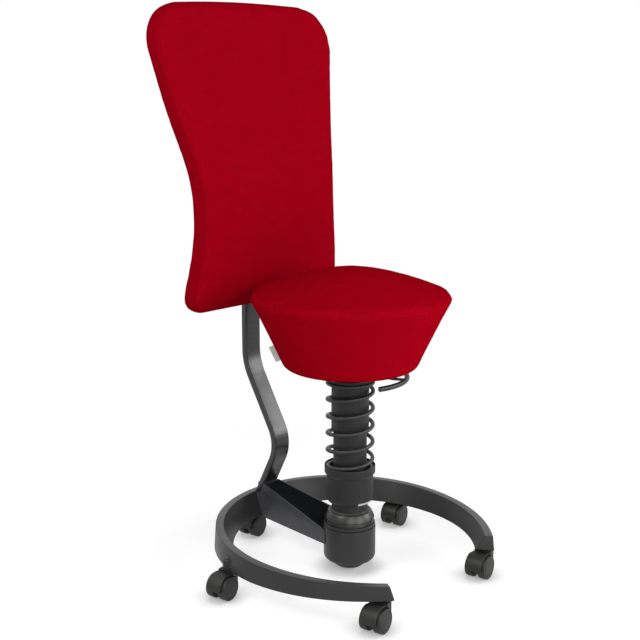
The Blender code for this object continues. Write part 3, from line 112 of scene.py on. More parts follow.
def startMaterial(name, hexText, roughness, metallic):
    material = bpy.data.materials.new(name)
    material.use_nodes = True
    tree = material.node_tree
    shader = tree.nodes["Principled BSDF"]
    fillNode(shader, {"Base Color": linear(hexText), "Roughness": roughness, "Metallic": metallic})
    material.diffuse_color = linear(hexText)
    return material, shader, partial(addNode, tree)


def inMillimetres(add):  # the piece's own coordinates, so a pattern's size is a real one
    place = add("TexCoord", {})
    return add("VectorMath", {"operation": "SCALE", "Scale": 1000.0}, {0: place.outputs["Object"]})


# materials

woolCloth = {  # wool blend, woven then felted: a soft matt face with a faint thread and a slight bloom
    "seatReds": ("#9C0215", "#940214"),
    "backShadedReds": ("#960215", "#8E0214"),  # a darker copy of the seat's wool: painted shade on the back
    "threadMm": 2.4,  # the real thread is near 0.6 mm, drawn coarser so that it shows
    "mottleMm": 17.0,
    "fuzzMm": 1.1,
    "bumpMm": 0.22,
}
waveScale = 0.314159  # gives a wave texture one band per unit


def makeWoolCloth(name, red, deep):
    material, shader, add = startMaterial(name, red, 0.92, 0.0)
    weave = add("Attribute", {"attribute_name": "weave"}).outputs["Vector"]  # in mm on each panel
    thread = woolCloth["threadMm"]
    across, along = (
        add("TexWave", {"bands_direction": way, "Scale": waveScale / thread}, {"Vector": weave}).outputs["Fac"]
        for way in "XY"
    )
    over = add("TexChecker", {"Scale": 1.0 / thread}, {"Vector": weave})
    cross = add("Mix", {"data_type": "FLOAT"}, {0: over.outputs["Fac"], 2: across, 3: along})
    fuzz = add("TexNoise", {"Scale": 1.0 / woolCloth["fuzzMm"], "Detail": 4.0, "Roughness": 0.7}, {"Vector": weave})
    height = add("Math", {"operation": "ADD"}, {0: cross, 1: fuzz.outputs["Fac"]})
    bump = add("Bump", {"Strength": 0.35, "Distance": woolCloth["bumpMm"] * mm}, {"Height": height})
    stretch = add("Mapping", {"Scale": (0.45, 1.0, 1.0)}, {"Vector": weave})  # slubs run across the cloth
    coarse = {"Scale": 1.0 / woolCloth["mottleMm"], "Detail": 6.0, "Roughness": 0.62}
    mottle = add("TexNoise", coarse, {"Vector": stretch})
    tone = add("MapRange", {"From Min": 0.35, "From Max": 0.65}, {"Value": mottle.outputs["Fac"]})
    colour = add("Mix", {"data_type": "RGBA", 6: linear(deep), 7: linear(red)}, {0: tone})
    rough = add("MapRange", {"To Min": 0.86, "To Max": 0.98}, {"Value": fuzz.outputs["Fac"]})
    fillNode(
        shader,
        {"Specular IOR Level": 0.0, "Sheen Weight": 0.05, "Sheen Roughness": 0.6, "Sheen Tint": linear("#C00018")},
        {"Base Color": colour.outputs[2], "Roughness": rough, "Normal": bump},
    )
    return material


cloudMm = 55.0  # broad uneven handling of a coat


def makeCoating(name, hexText, edgeWornAndLitHex, roughness, grainMm, bumpMm, shine):
    # a cured coat or a moulded skin: a fine even grain breaks the gloss, and edges are painted a little lighter, partly
    # as wear and partly as a painted edge highlight
    material, shader, add = startMaterial(name, hexText, roughness, 0.0)
    place = inMillimetres(add)
    grain = add("TexNoise", {"Scale": 1.0 / grainMm, "Detail": 3.0, "Roughness": 0.6}, {"Vector": place})
    cloud = add("TexNoise", {"Scale": 1.0 / cloudMm, "Detail": 4.0}, {"Vector": place})
    bump = add("Bump", {"Strength": 0.4, "Distance": bumpMm * mm}, {"Height": grain.outputs["Fac"]})
    edge = add("NewGeometry", {})
    # sharp edges turn lighter in patches: edge wear together with a painted edge highlight
    edgeWearAndHighlight = add("MapRange", {"From Min": 0.53, "From Max": 0.62}, {"Value": edge.outputs["Pointiness"]})
    patchyEdgeWearAndHighlight = add("Math", {"operation": "MULTIPLY"}, {0: edgeWearAndHighlight, 1: cloud.outputs["Fac"]})
    colour = add("Mix", {"data_type": "RGBA", 6: linear(hexText), 7: linear(edgeWornAndLitHex)}, {0: patchyEdgeWearAndHighlight})
    rough = add(
        "MapRange", {"From Min": 0.3, "From Max": 0.7, "To Min": roughness - 0.06, "To Max": roughness + 0.08},
        {"Value": cloud.outputs["Fac"]},
    )
    fillNode(
        shader, {"Specular IOR Level": shine},
        {"Base Color": colour.outputs[2], "Roughness": rough, "Normal": bump},
    )
    return material


def makeBareSteel(name, hexText, roughness, lineMm):
    # turned or drawn steel: fine lines along the making and a cool even shine
    material, shader, add = startMaterial(name, hexText, roughness, 1.0)
    place = inMillimetres(add)
    flat = add("Mapping", {"Scale": (0.05, 0.05, 1.0)}, {"Vector": place})
    lines = add("TexNoise", {"Scale": 1.0 / lineMm, "Detail": 2.0}, {"Vector": flat})
    bump = add("Bump", {"Strength": 0.15, "Distance": 0.05 * mm}, {"Height": lines.outputs["Fac"]})
    rough = add("MapRange", {"To Min": roughness - 0.08, "To Max": roughness + 0.1}, {"Value": lines.outputs["Fac"]})
    fillNode(shader, {}, {"Roughness": rough, "Normal": bump})
    return material


seatWool = makeWoolCloth("feltedWovenWoolRed", *woolCloth["seatReds"])
# the back's cloth is the seat's wool made darker: painted shade
shadedBackWool = makeWoolCloth("feltedWovenWoolRedBackShaded", *woolCloth["backShadedReds"])
powderCoat = makeCoating("powderCoatedSteelAnthracite", "#313132", "#56575A", 0.42, 1.4, 0.05, 0.22)  # fine orange peel
litTopCoat = makeCoating("powderCoatedSteelLitTop", "#3A3A3B", "#5E5F61", 0.36, 1.4, 0.04, 0.5)  # a lighter, shinier copy of the coat for level tops: painted light from above
barCoat = makeCoating("powderCoatedBarAnthracite", "#141517", "#424446", 0.25, 1.4, 0.02, 0.55)  # smooth, long glints
blackPolyamide = makeCoating("mouldedPolyamideBlack", "#1C1C1D", "#323234", 0.5, 1.0, 0.05, 0.3)  # spark-grained tool
coverAbs = makeCoating("mouldedAbsBlack", "#16191B", "#1E2124", 0.6, 2.0, 0.02, 0.0)  # dull skin, near black
domeElastomer = makeCoating("mouldedElastomerBlack", "#191917", "#2A2A25", 0.3, 1.6, 0.02, 0.42)  # satin skin
casterPolyamide = makeCoating("mouldedCasterPolyamide", "#1A1A18", "#2C2C28", 0.48, 1.2, 0.04, 0.34)  # warm satin black
discPolyamide = makeCoating("mouldedWheelDiscPolyamide", "#18181A", "#36373A", 0.45, 1.2, 0.03, 0.28)  # smoother
springCoat = makeCoating("shotBlastedCoatedSpringSteel", "#1C1C1D", "#444546", 0.4, 0.9, 0.05, 0.42)  # soft gleam
bushRubber = makeCoating("mouldedRubberBlack", "#1A1A1A", "#262626", 0.75, 1.5, 0.06, 0.3)  # dull and dark
bearingAcetal = makeCoating("mouldedAcetalIvory", "#B9B8AE", "#C9C8C0", 0.45, 1.5, 0.03, 0.5)  # pale waxy skin
leverSteel = makeBareSteel("drawnSteelSatin", "#3E3F40", 0.42, 0.8)  # a grey sheen along the wire
highlightArcSteel = makeBareSteel("polishedSteelHighlightArc", "#BEBFC0", 0.2, 0.8)  # a bright steel arc on the cup's lower edge, a guessed index inlay set only where that edge shows a highlight: a painted highlight
zincSteel = makeBareSteel("zincPlatedSteelDark", "#5E5F61", 0.42, 0.9)  # cool grey with fine lines
tagRibbon = makeCoating("wovenSatinRibbonWhite", "#CACAC6", "#D8D8D4", 0.7, 0.7, 0.06, 0.2)  # pale, softly ribbed

finishes = {  # the CAD nodes that stay, by what they are made of
    "base_arm": powderCoat, "arm_cover": coverAbs, "back_bracket": powderCoat,
    "back_shell": blackPolyamide, "bar_bolt_left": zincSteel, "bar_bolt_right": zincSteel,
    "pot_collar": blackPolyamide, "swing_bush": bushRubber, "clamp_plate": zincSteel,
    "swing_liner": bearingAcetal, "guide_bush": bearingAcetal, "spring_washer": zincSteel, "guide_tube": zincSteel,
    "gas_bush": bearingAcetal, "thrust_bearing": zincSteel, "gas_rod": leverSteel, "gas_cylinder": blackPolyamide,
    "valve_pin": zincSteel, "seat_plate": zincSteel, "lever_pin": zincSteel, "seat_shell": blackPolyamide,
}
softenedEdges = {"base_arm": 1.0, "arm_cover": 0.5, "back_bracket": 1.5, "back_shell": 1.6}  # mm


def finishNodes():
    for name, obj in nodes.items():
        finish = finishes.get(name, zincSteel)
        obj.data.materials.clear()
        obj.data.materials.append(finish)
        if name in softenedEdges:
            bevel = obj.modifiers.new("edge", "BEVEL")
            bevel.width = softenedEdges[name] * mm
            bevel.segments = 3
            bevel.limit_method = "ANGLE"
            bevel.angle_limit = radians(24)
            bevel.harden_normals = True


finishNodes()
print("materials:", len(bpy.data.materials))


# small helpers for shapes, all in mm

def solidObject(bm, name="solid"):
    bmesh.ops.recalc_face_normals(bm, faces=bm.faces)
    mesh = bpy.data.meshes.new(name)
    bm.to_mesh(mesh)
    bm.free()
    return linked(name, mesh)


def meshPiece(name, bm, body, piecesOf, looks, sharp):
    obj = solidObject(bm, name)
    obj.data.shade_smooth()
    obj.data.set_sharp_from_angle(angle=radians(sharp))
    for finish in looks:
        obj.data.materials.append(finish)
    if body:
        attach(obj, body)
    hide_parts(*piecesOf)
    return obj


cornerShift = 100.0  # moves a section that crosses zero, because the rounding skips corners at or left of zero


def rounded(points, radius, steps=4):  # rounds a section's corners; a third number is a corner's own radius
    out = []
    for i, point in enumerate(points):
        here = Vector(point[:2])
        before = Vector(points[i - 1][:2]) - here
        after = Vector(points[(i + 1) % len(points)][:2]) - here
        wanted = point[2] if len(point) > 2 else radius
        if wanted <= 0 or here.x <= 0:
            out.append(here)
            continue
        half = before.angle(after) / 2
        reach = min(wanted / tan(half), 0.45 * before.length, 0.45 * after.length)
        first = here + before.normalized() * reach
        last = here + after.normalized() * reach
        for k in range(steps + 1):
            t = k / steps
            out.append(first * (1 - t) ** 2 + here * 2 * t * (1 - t) + last * t**2)
    return [(p.x, p.y) for p in out]


def arcPoints(centre, radius, first, last, steps):
    angles = [radians(first + (last - first) * k / steps) for k in range(steps + 1)]
    return [(centre[0] + radius * cos(a), centre[1] + radius * sin(a), 0) for a in angles]


def turnedShape(points, turns=96, wave=None):  # a section of radius and height, turned about the column's axis
    bm = bmesh.new()
    rows = []
    for radius, height in points:
        if radius <= 1e-6:
            rows.append([bm.verts.new((0, 0, height * mm))])
            continue
        row = []
        for k in range(turns):
            angle = 2 * pi * k / turns
            reach = radius + (wave(angle, radius, height) if wave else 0.0)
            row.append(bm.verts.new((reach * mm * cos(angle), reach * mm * sin(angle), height * mm)))
        rows.append(row)
    for low, high in zip(rows, rows[1:] + rows[:1]):
        for k in range(turns):
            j = (k + 1) % turns
            corners = [low[k % len(low)], low[j % len(low)], high[j % len(high)], high[k % len(high)]]
            corners = list(dict.fromkeys(corners))
            if len(corners) > 2:
                bm.faces.new(corners)
    return bm


def loftedShape(loops, bm=None):
    bm = bm or bmesh.new()
    rows = [[bm.verts.new(Vector(point) * mm) for point in loop] for loop in loops]
    for low, high in zip(rows, rows[1:]):
        for i in range(len(low)):
            j = (i + 1) % len(low)
            bm.faces.new((low[i], low[j], high[j], high[i]))
    bm.faces.new(rows[0][::-1])
    bm.faces.new(rows[-1])
    return bm


def sweptRod(path, radius, sides=16, tip=1.0, bm=None):  # a round rod along a path, its ends turned off softly
    points = [Vector(p) for p in path]
    tangents = []
    for i in range(len(points)):
        tangents.append((points[min(i + 1, len(points) - 1)] - points[max(i - 1, 0)]).normalized())
    side = tangents[0].orthogonal().normalized()
    stations = []
    for point, tangent in zip(points, tangents):
        side = (side - tangent * side.dot(tangent)).normalized()
        stations.append((point, tangent, side, radius))
    ends = []
    for (point, tangent, lean, full), way in ((stations[0], -1), (stations[-1], 1)):
        rings = []
        for k in range(1, 5):
            a = pi / 2 * k / 4
            rings.append((point + tangent * way * tip * sin(a), tangent, lean, full - tip * (1 - cos(a))))
        ends.append(rings)
    loops = []
    for point, tangent, lean, full in ends[0][::-1] + stations + ends[1]:
        other = tangent.cross(lean)
        loop = []
        for k in range(sides):
            a = 2 * pi * k / sides
            loop.append(point + (lean * cos(a) + other * sin(a)) * full)
        loops.append(loop)
    return loftedShape(loops, bm)


def rodShape(radius, low, high, turns, place, soft=0.0):  # a plain round solid, set in place
    bm = turnedShape(rounded([(0, low, 0), (radius, low, soft), (radius, high, soft), (0, high, 0)], 0.0), turns)
    bmesh.ops.transform(bm, matrix=place, verts=bm.verts)
    return bm


def carvedShape(base, added, removed):  # joins solids, then cuts others away
    body = solidObject(base)
    helpers = []
    for operation, shapes in (("UNION", added), ("DIFFERENCE", removed)):
        for shape in shapes:
            other = solidObject(shape)
            step = body.modifiers.new(operation.lower(), "BOOLEAN")
            step.operation = operation
            step.solver = "EXACT"
            step.object = other
            helpers.append(other)
    graph = bpy.context.evaluated_depsgraph_get()
    bm = bmesh.new()
    bm.from_object(body, graph)
    for obj in helpers + [body]:
        bpy.data.objects.remove(obj, do_unlink=True)
    return bm


# column: pot, dome, cup, tubes and plate

columnParts = {  # radius, height and at times a corner's own radius, in mm; moulded in black unless it says so
    "pot_casting": {
        "node": "foot_pot", "body": "base", "slot": "anthracite_paint", "look": powderCoat, "soft": 0.8,
        "section": [(8.5, 22, 0)] + arcPoints((43, 35), 13, -90, 0, 10) + [
            (56, 98.7, 1.0), (53.2, 98.7, 0.5), (53.2, 51.2), (50, 51.2), (50, 41), (45, 36), (8.5, 36)],
    },
    "swing_dome": {  # a bulging bead with the dark neck rising behind its upper edge
        "node": "dome_cap", "body": "stand", "slot": "black_plastic", "look": domeElastomer, "soft": 0.9,
        "section": arcPoints((0, 101), 52.9, 7.6, 16.8, 4) + arcPoints((0, 101), 55.8, 17.8, 33, 8) + [
            (45.7, 133, 1.8), (42.1, 132.2, 0.8), (38.7, 136.3, 1), (38.7, 154), (36, 154),
        ] + arcPoints((0, 101), 50.7, 44.8, 7.6, 12),
        "otherLook": blackPolyamide, "otherFrom": (132.3, 160.0), "otherInside": 43.5,
    },
    "spring_cup_shell": {
        "node": "spring_cup", "body": "cup", "soft": 1.0,
        "section": [
            (44, 154.6), (46.2, 154.6, 0.4), (46.9, 155.4, 0.4), (50, 161.0, 0.8), (50, 213.5, 3),
            (54.4, 218.7, 4), (54.4, 234.8, 2.4), (52.8, 234.8, 0.7), (52.8, 220), (36.1, 220, 0.4),
            (36.1, 180), (40, 180), (40, 213.5), (47.3, 213.5), (47.3, 163)],
        # the bright steel in one sector of the lower edge is a painted highlight
        "otherLook": highlightArcSteel, "otherFrom": (155.5, 160.9), "otherInside": 51.0, "highlightSector": (243.0, 297.0),
    },
    "stand_pipe": {
        "node": "stand_tube", "body": "stand", "soft": 0.4,
        "section": [(0, 112), (30, 112), (30, 70), (35.7, 70), (35.7, 360), (33, 360), (33, 118), (0, 118)],
    },
    "sleeve_pipe": {
        "node": "guide_sleeve", "body": "sleeve", "soft": 0.5,
        "section": [
            (36.1, 312), (40, 312, 1.4), (40, 427.4, 0.2), (43.5, 427.4),
            (43.5, 432), (25.3, 432), (25.3, 425.5), (36.1, 425.5)],
    },
    "spring_top_plate": {
        "node": "spring_plate", "body": "sleeve", "soft": 0.8,
        "section": [
            (40.3, 411), (41.3, 411), (41.3, 419), (44.3, 421.5),
            (50.3, 421.5, 1.2), (50.3, 427.1, 1.8), (40.3, 427.1)],
    },
}


def makeColumn():
    for name, part in columnParts.items():
        bm = turnedShape(rounded(part["section"], part["soft"]))
        looks = [part.get("look", blackPolyamide)]
        if "otherLook" in part:
            looks.append(part["otherLook"])
            low, high = part["otherFrom"]
            first, last = part.get("highlightSector", (0.0, 360.0))
            for face in bm.faces:
                spot = face.calc_center_median() / mm
                turn = degrees(atan2(spot.y, spot.x)) % 360
                inSector = first <= turn <= last
                if inSector and low < spot.z < high and Vector(spot[:2]).length < part["otherInside"]:
                    face.material_index = 1
        meshPiece(name, bm, part["body"], [part["node"]], looks, 50)
    print("column pieces:", len(columnParts))


swayKnob = {"radius": 38.0, "low": 8.0, "high": 21.7, "grips": 8, "depth": 1.6, "plain": 26.0}


def makeSwayKnob():
    def gripWave(angle, radius, height):  # finger hollows round the rim, fading towards the middle
        share = max((radius - swayKnob["plain"]) / (swayKnob["radius"] - swayKnob["plain"]), 0.0)
        return -swayKnob["depth"] * min(share, 1.0) * (0.5 + 0.5 * cos(swayKnob["grips"] * angle)) ** 2

    low, high, radius = swayKnob["low"], swayKnob["high"], swayKnob["radius"]
    section = [(0, low + 1), (20, low + 1, 1), (21.5, low, 1), (28, low, 3)]
    section += [(radius, low + 8, 3), (radius, high, 2), (8, high, 0.4)]
    section += [(8, 36.3, 0.2), (11, 36.3, 0.3), (11, 39.3, 0.3), (8, 39.3, 0.2), (8, 54, 1), (0, 54)]
    bm = turnedShape(rounded(section, 1.0, 5), 168, gripWave)
    meshPiece("sway_grip", bm, "knob", ["sway_knob"], [blackPolyamide], 40)


makeColumn()
makeSwayKnob()


# coil spring: round wire, bent with the bounce

coil = {
    "radius": 48.1, "wire": 8.8, "pitch": 37.0, "low": 222.6, "high": 421.2,
    "firstTurn": -0.80, "lastTurn": 5.72, "startAngle": 131.7, "ease": 2.2, "pointsPerTurn": 40,
    "seated": 9.0,  # this much of each end stays stiff on its seat
}


def makeSpring():
    low = coil["low"] + coil["wire"] / 2
    span = coil["high"] - coil["wire"] / 2 - low
    middle = (coil["firstTurn"] + coil["lastTurn"]) / 2
    count = int((coil["lastTurn"] - coil["firstTurn"]) * coil["pointsPerTurn"])
    path = []
    for k in range(count + 1):
        turns = coil["firstTurn"] + (coil["lastTurn"] - coil["firstTurn"]) * k / count
        rise = span / 2 + coil["pitch"] * (turns - middle)
        lifted = coil["ease"] * np.logaddexp(0.0, rise / coil["ease"])
        eased = span - coil["ease"] * np.logaddexp(0.0, (span - lifted) / coil["ease"])
        angle = radians(coil["startAngle"]) + 2 * pi * turns
        path.append((coil["radius"] * cos(angle), coil["radius"] * sin(angle), low + max(float(eased), 0.0)))
    bm = sweptRod(path, coil["wire"] / 2, 18, 0.8)
    obj = meshPiece("spring_coil", bm, None, ["coil_spring"], [springCoat], 60)
    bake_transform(obj)
    print("spring:", count, "points")


makeSpring()


# ring base

ring = {
    "radius": 288.2, "width": 17.0, "spread": 21.0, "foot": 58.0, "height": 42.1, "rise": 0.036, "footRise": 0.015,
    "flare": 19.0, "reach": 148.0, "slant": 7.5, "upright": 9.0, "endSoft": 1.2, "steps": 220, "outerFoot": 3.6,
    "tail": 9.0,  # the slanted end fades into the plain section over this many degrees
    "boss": 10.5, "bossTip": 6.0, "bossShoulder": 20.0, "bossTop": 24.0, "bossDrop": 0.2,
    "armRear": 242.6, "armFront": 26.0, "armRearHalf": 25.0, "armFrontHalf": 51.3, "lugSlope": 0.52, "lugDepth": 9.0,
    "litTopFrom": 0.97,  # faces this level take the lighter copy of the coat: painted light from above
}
casterRadius = 289.0


def ringSection(angle, slant, inset):
    turn = radians(angle)
    outer = ring["radius"] + ring["flare"] * max(abs(turn) - pi / 2, 0.0) ** 2
    inner = outer - ring["width"]
    level = outer * cos(turn)
    low = ring["foot"] - ring["footRise"] * min(level, 0.0)
    high = ring["foot"] + ring["height"] + ring["rise"] * level
    tall = high - low
    points = [(outer + ring["outerFoot"], low, 1.6), (outer, high, 1.3)]
    points += [(inner, high, 1.3), (inner - ring["spread"], low, 1.0)]
    loop = []
    for radius, z in rounded(points, 1.0, 5):
        down = (high - z) / tall
        nearest, farthest = inner - ring["spread"] * down, outer + ring["outerFoot"] * down
        radius = nearest + inset + (radius - nearest) * (1 - 2 * inset / (farthest - nearest))
        z = low + inset + (z - low) * (1 - 2 * inset / tall)
        share = max((z - low - ring["upright"]) / (tall - ring["upright"]), 0.0)
        back = turn - slant * share / ring["radius"]
        loop.append((radius * sin(back), radius * cos(back), z))
    return loop


def makeRing():
    loops = []
    soft = ring["endSoft"]
    closing = [(soft * (1 - sin(a)), soft * (1 - cos(a))) for a in np.linspace(0, pi / 2, 6)]
    for short, inset in closing[::-1]:
        angle = -ring["reach"] + degrees(short / ring["radius"])
        loops.append(ringSection(angle, -ring["slant"], inset))
    for k in range(1, ring["steps"]):
        angle = -ring["reach"] + 2 * ring["reach"] * k / ring["steps"]
        near = max(1 - (ring["reach"] - abs(angle)) / ring["tail"], 0.0)
        loops.append(ringSection(angle, copysign(ring["slant"] * near, angle), 0.0))
    for short, inset in closing:
        angle = ring["reach"] - degrees(short / ring["radius"])
        loops.append(ringSection(angle, ring["slant"], inset))
    base = loftedShape(loops)
    bosses = []
    for k in range(5):
        angle = radians(72 * k)
        foot = ring["foot"] - ring["bossDrop"]
        shoulder, top = foot + ring["bossShoulder"], foot + ring["bossTop"]
        wide, tip = ring["boss"], ring["bossTip"]
        section = [(0, foot), (wide, foot, 0.8), (wide, shoulder, 4), (tip, top, 3), (0, top)]
        boss = turnedShape(rounded(section, 1.0), 48)
        spot = Vector((sin(angle), cos(angle), 0)) * casterRadius * mm
        bmesh.ops.translate(boss, verts=boss.verts, vec=spot)
        bosses.append(boss)
    bosses.append(ringLug())
    bm = carvedShape(base, bosses, [])
    bm.normal_update()
    # the level tops get the lighter, shinier copy of the coat: painted light from above
    for face in bm.faces:
        face.material_index = 1 if face.normal.z > ring["litTopFrom"] else 0
    meshPiece("ring_casting", bm, "base", ["base_ring"], [powderCoat, litTopCoat], 30)
    print("ring:", len(loops), "sections")


def ringLug():  # the slanted pad behind the arm
    inner = ring["radius"] - ring["width"]
    high = ring["foot"] + ring["height"] + ring["rise"] * inner - 1.0
    low = ring["foot"] + 0.2
    front = inner - 1.3
    rear = inner + ring["lugDepth"]
    outline = [(front - ring["lugSlope"] * (high - low), low), (rear, low), (rear, high), (front, high)]
    loops = []
    for side in (-1, 1):
        loop = []
        for y, z in outline:
            share = (ring["armRear"] - y) / (ring["armRear"] - ring["armFront"])
            half = ring["armRearHalf"] + (ring["armFrontHalf"] - ring["armRearHalf"]) * share
            loop.append((side * half, y, z))
        loops.append(loop)
    return loftedShape(loops)


makeRing()


# bent bar

bar = {  # its line in the plane of symmetry, as set-back and height
    "line": [(302.5, 793.0), (302.5, 408.5), (200.13, 234.4), (263.7, 110.96)], "bends": (120.0, 78.0),
    "halfWidth": 22.4, "halfThick": 7.5, "soft": 3.6, "topSoft": 2.0, "boltUp": 15.0, "boltSide": 11.0, "boltHole": 4.3,
}


def makeBar():
    line = [Vector(p) for p in bar["line"]]
    stations = []
    down = (line[1] - line[0]).normalized()
    for k in range(6):  # the top end is turned off softly
        a = pi / 2 * k / 5
        inset = bar["topSoft"] * (1 - cos(a))
        stations.append((line[0] + down * bar["topSoft"] * (1 - sin(a)), down, inset))
    stations.reverse()
    for i, radius in enumerate(bar["bends"], 1):
        before, after = (line[i] - line[i - 1]).normalized(), (line[i + 1] - line[i]).normalized()
        turn = before.angle(after)
        side = (after - before * after.dot(before)).normalized()
        centre = line[i] - before * radius * tan(turn / 2) + side * radius
        for k in range(25):
            a = turn * k / 24
            out = side * cos(a) - before * sin(a)
            stations.append((centre - out * radius, before * cos(a) + side * sin(a), 0.0))
    stations.append((line[3], (line[3] - line[2]).normalized(), 0.0))
    loops = []
    for spot, along, inset in stations:
        wide, thick = bar["halfWidth"] - inset, bar["halfThick"] - inset
        offset = Vector((cornerShift, cornerShift))
        corners = ((wide, thick), (-wide, thick), (-wide, -thick), (wide, -thick))
        across = Vector((-along.y, along.x))
        loop = []
        for x, out in rounded([offset + Vector(p) for p in corners], bar["soft"], 6):
            point = spot + across * (out - cornerShift)
            if spot == line[3]:  # the foot is sawn level
                point = point - along * ((point.y - line[3].y) / along.y)
            loop.append((x - cornerShift, point.x, point.y))
        loops.append(loop)
    along = (line[3] - line[2]).normalized()
    middle = line[3] - along * bar["boltUp"]
    holes = []
    for side in (-1, 1):
        turn = Vector((0, -along.y, along.x)).to_track_quat("Z", "X").to_matrix().to_4x4()
        place = Matrix.Translation(Vector((side * bar["boltSide"], middle.x, middle.y)) * mm) @ turn
        holes.append(rodShape(bar["boltHole"], -30, 30, 24, place))
    bm = carvedShape(loftedShape(loops), [], holes)
    meshPiece("bent_bar", bm, "base", ["back_bar"], [barCoat], 38)
    print("bar:", len(loops), "sections")


makeBar()


# lever

lever = {
    "turn": -62.0, "pivot": 27.0, "level": 428.8, "pivotLevel": 578.0, "crank": 75.9, "bend": 14.0,
    "reach": 119.0, "halfBow": 46.5, "rod": 5.5, "crankRod": 3.0, "eyeNear": 5.0, "eyeHalf": 5.5, "eyeBroken": 0.6,
}


def makeLever():
    bend, crank, high, low = lever["bend"], lever["crank"], lever["pivotLevel"], lever["level"]
    path = [(-4, 0, high), (lever["pivot"], 0, high)]
    path += [(x, 0, z) for x, z, _ in arcPoints((crank - bend, high - bend), bend, 90, 0, 10)]
    path += [(x, 0, z) for x, z, _ in arcPoints((crank + bend, low + bend), bend, 180, 270, 10)]
    path.append((lever["reach"], 0, low))
    bm = sweptRod(path, lever["crankRod"], 16, 0.4)
    bow = []
    for k in range(49):
        angle = radians(lever["halfBow"] * (k / 24 - 1))
        bow.append((lever["reach"] * cos(angle), lever["reach"] * sin(angle), low))
    sweptRod(bow, lever["rod"], 24, 0.9, bm)
    pivot = lever["pivot"]
    eye = []
    for y in (-5.6, -5.0, 5.0, 5.6):  # the eye on the pin, its edges broken
        inset = lever["eyeBroken"] if abs(y) > lever["eyeHalf"] else 0.0
        left, right = pivot - lever["eyeNear"] + inset, pivot + lever["eyeHalf"] - inset
        under, over = high - lever["eyeHalf"] + inset, high + lever["eyeHalf"] - inset
        outline = rounded([(left, under), (right, under), (right, over), (left, over)], 1.5)
        eye.append([(x, y, z) for x, z in outline])
    loftedShape(eye, bm)
    bmesh.ops.rotate(bm, verts=bm.verts, cent=(0, 0, 0), matrix=Matrix.Rotation(radians(lever["turn"]), 3, "Z"))
    meshPiece("lever_rod", bm, "lever", ["release_lever"], [leverSteel], 45)
    print("lever done")


makeLever()


# casters

caster = {
    "heading": 189.5, "trail": 19.5, "wheel": 25.0, "inner": 7.0, "outer": 23.5, "web": 11.8,
    "clear": 27.2, "crown": 29.6, "fenderHalf": 17.0, "housingHalf": 19.0, "front": -12.5, "rear": 8.0, "top": 55.5,
    "hub": 9.0, "stemBore": 5.3, "axleBore": 3.3, "disc": 20.6, "discDepth": 1.2,
}


def wheelShape():
    wheel, inner, outer = caster["wheel"], caster["inner"], caster["outer"]
    section = [
        (0, 17.5), (caster["axleBore"], 17.5), (caster["axleBore"], inner), (wheel, inner, 1.4),
        (wheel, outer - 0.4, 2.6), (22.2, outer - 0.1, 0.6), (21.4, outer - 1.0, 0.3), (20.5, outer - 1.0, 0.3),
        (19.6, outer - 0.2, 0.6), (10, outer + 0.1, 0), (0, outer + 0.2)]
    return turnedShape(rounded(section, 0.4), 72)


def hoodShape():
    trail, wheel = caster["trail"], caster["wheel"]
    across = Matrix.Translation((trail * mm, 0, wheel * mm)) @ Matrix.Rotation(radians(90), 4, "X")
    half = caster["fenderHalf"]
    fender = rodShape(caster["crown"], -half, half, 96, across, 1.5)
    far = 60  # a block well past the fender on all sides
    block = [(-far, -far), (trail + far, -far), (trail + far, far), (-far, far)]
    below = loftedShape([[(x, y, z) for x, y in block] for z in (-far, wheel - 2)])
    fender = carvedShape(fender, [], [below])
    front, rear, wide = caster["front"], caster["rear"], caster["housingHalf"]
    plan = [(front, -wide, 6), (rear, -wide, 2), (rear, wide, 2), (front, wide, 6)]
    plan = rounded([(x + cornerShift, y, soft) for x, y, soft in plan], 1.0)
    middle = (front + rear) / 2
    loops = []
    for inset, z in ((0, wheel - 1), (0, caster["top"] - 1.2), (0.35, caster["top"] - 0.35), (1.2, caster["top"])):
        narrower, slimmer = 1 - inset / 14, 1 - inset / wide
        loops.append([(middle + (x - cornerShift - middle) * narrower, y * slimmer, z) for x, y in plan])
    housing = loftedShape(loops)
    web = caster["web"] / 2
    hub = rodShape(caster["hub"], -web + 0.2, web - 0.2, 32, across)
    cuts = [rodShape(caster["clear"], web, 40, 96, across), rodShape(caster["clear"], -40, -web, 96, across)]
    cuts.append(rodShape(caster["stemBore"], wheel + 5, caster["top"] + 10, 24, Matrix()))
    cuts.append(rodShape(caster["axleBore"], -20, 20, 24, across))
    return carvedShape(fender, [housing, hub], cuts)


def stemShape():
    section = [(0, 30.5), (5, 30.5, 0.5), (5, 55.8, 0.2), (8, 55.8, 0.5)]
    section += [(8, 57.5, 0.4), (5, 57.5, 0.2), (5, 85, 0.8), (0, 85)]
    return turnedShape(rounded(section, 0.3), 32)


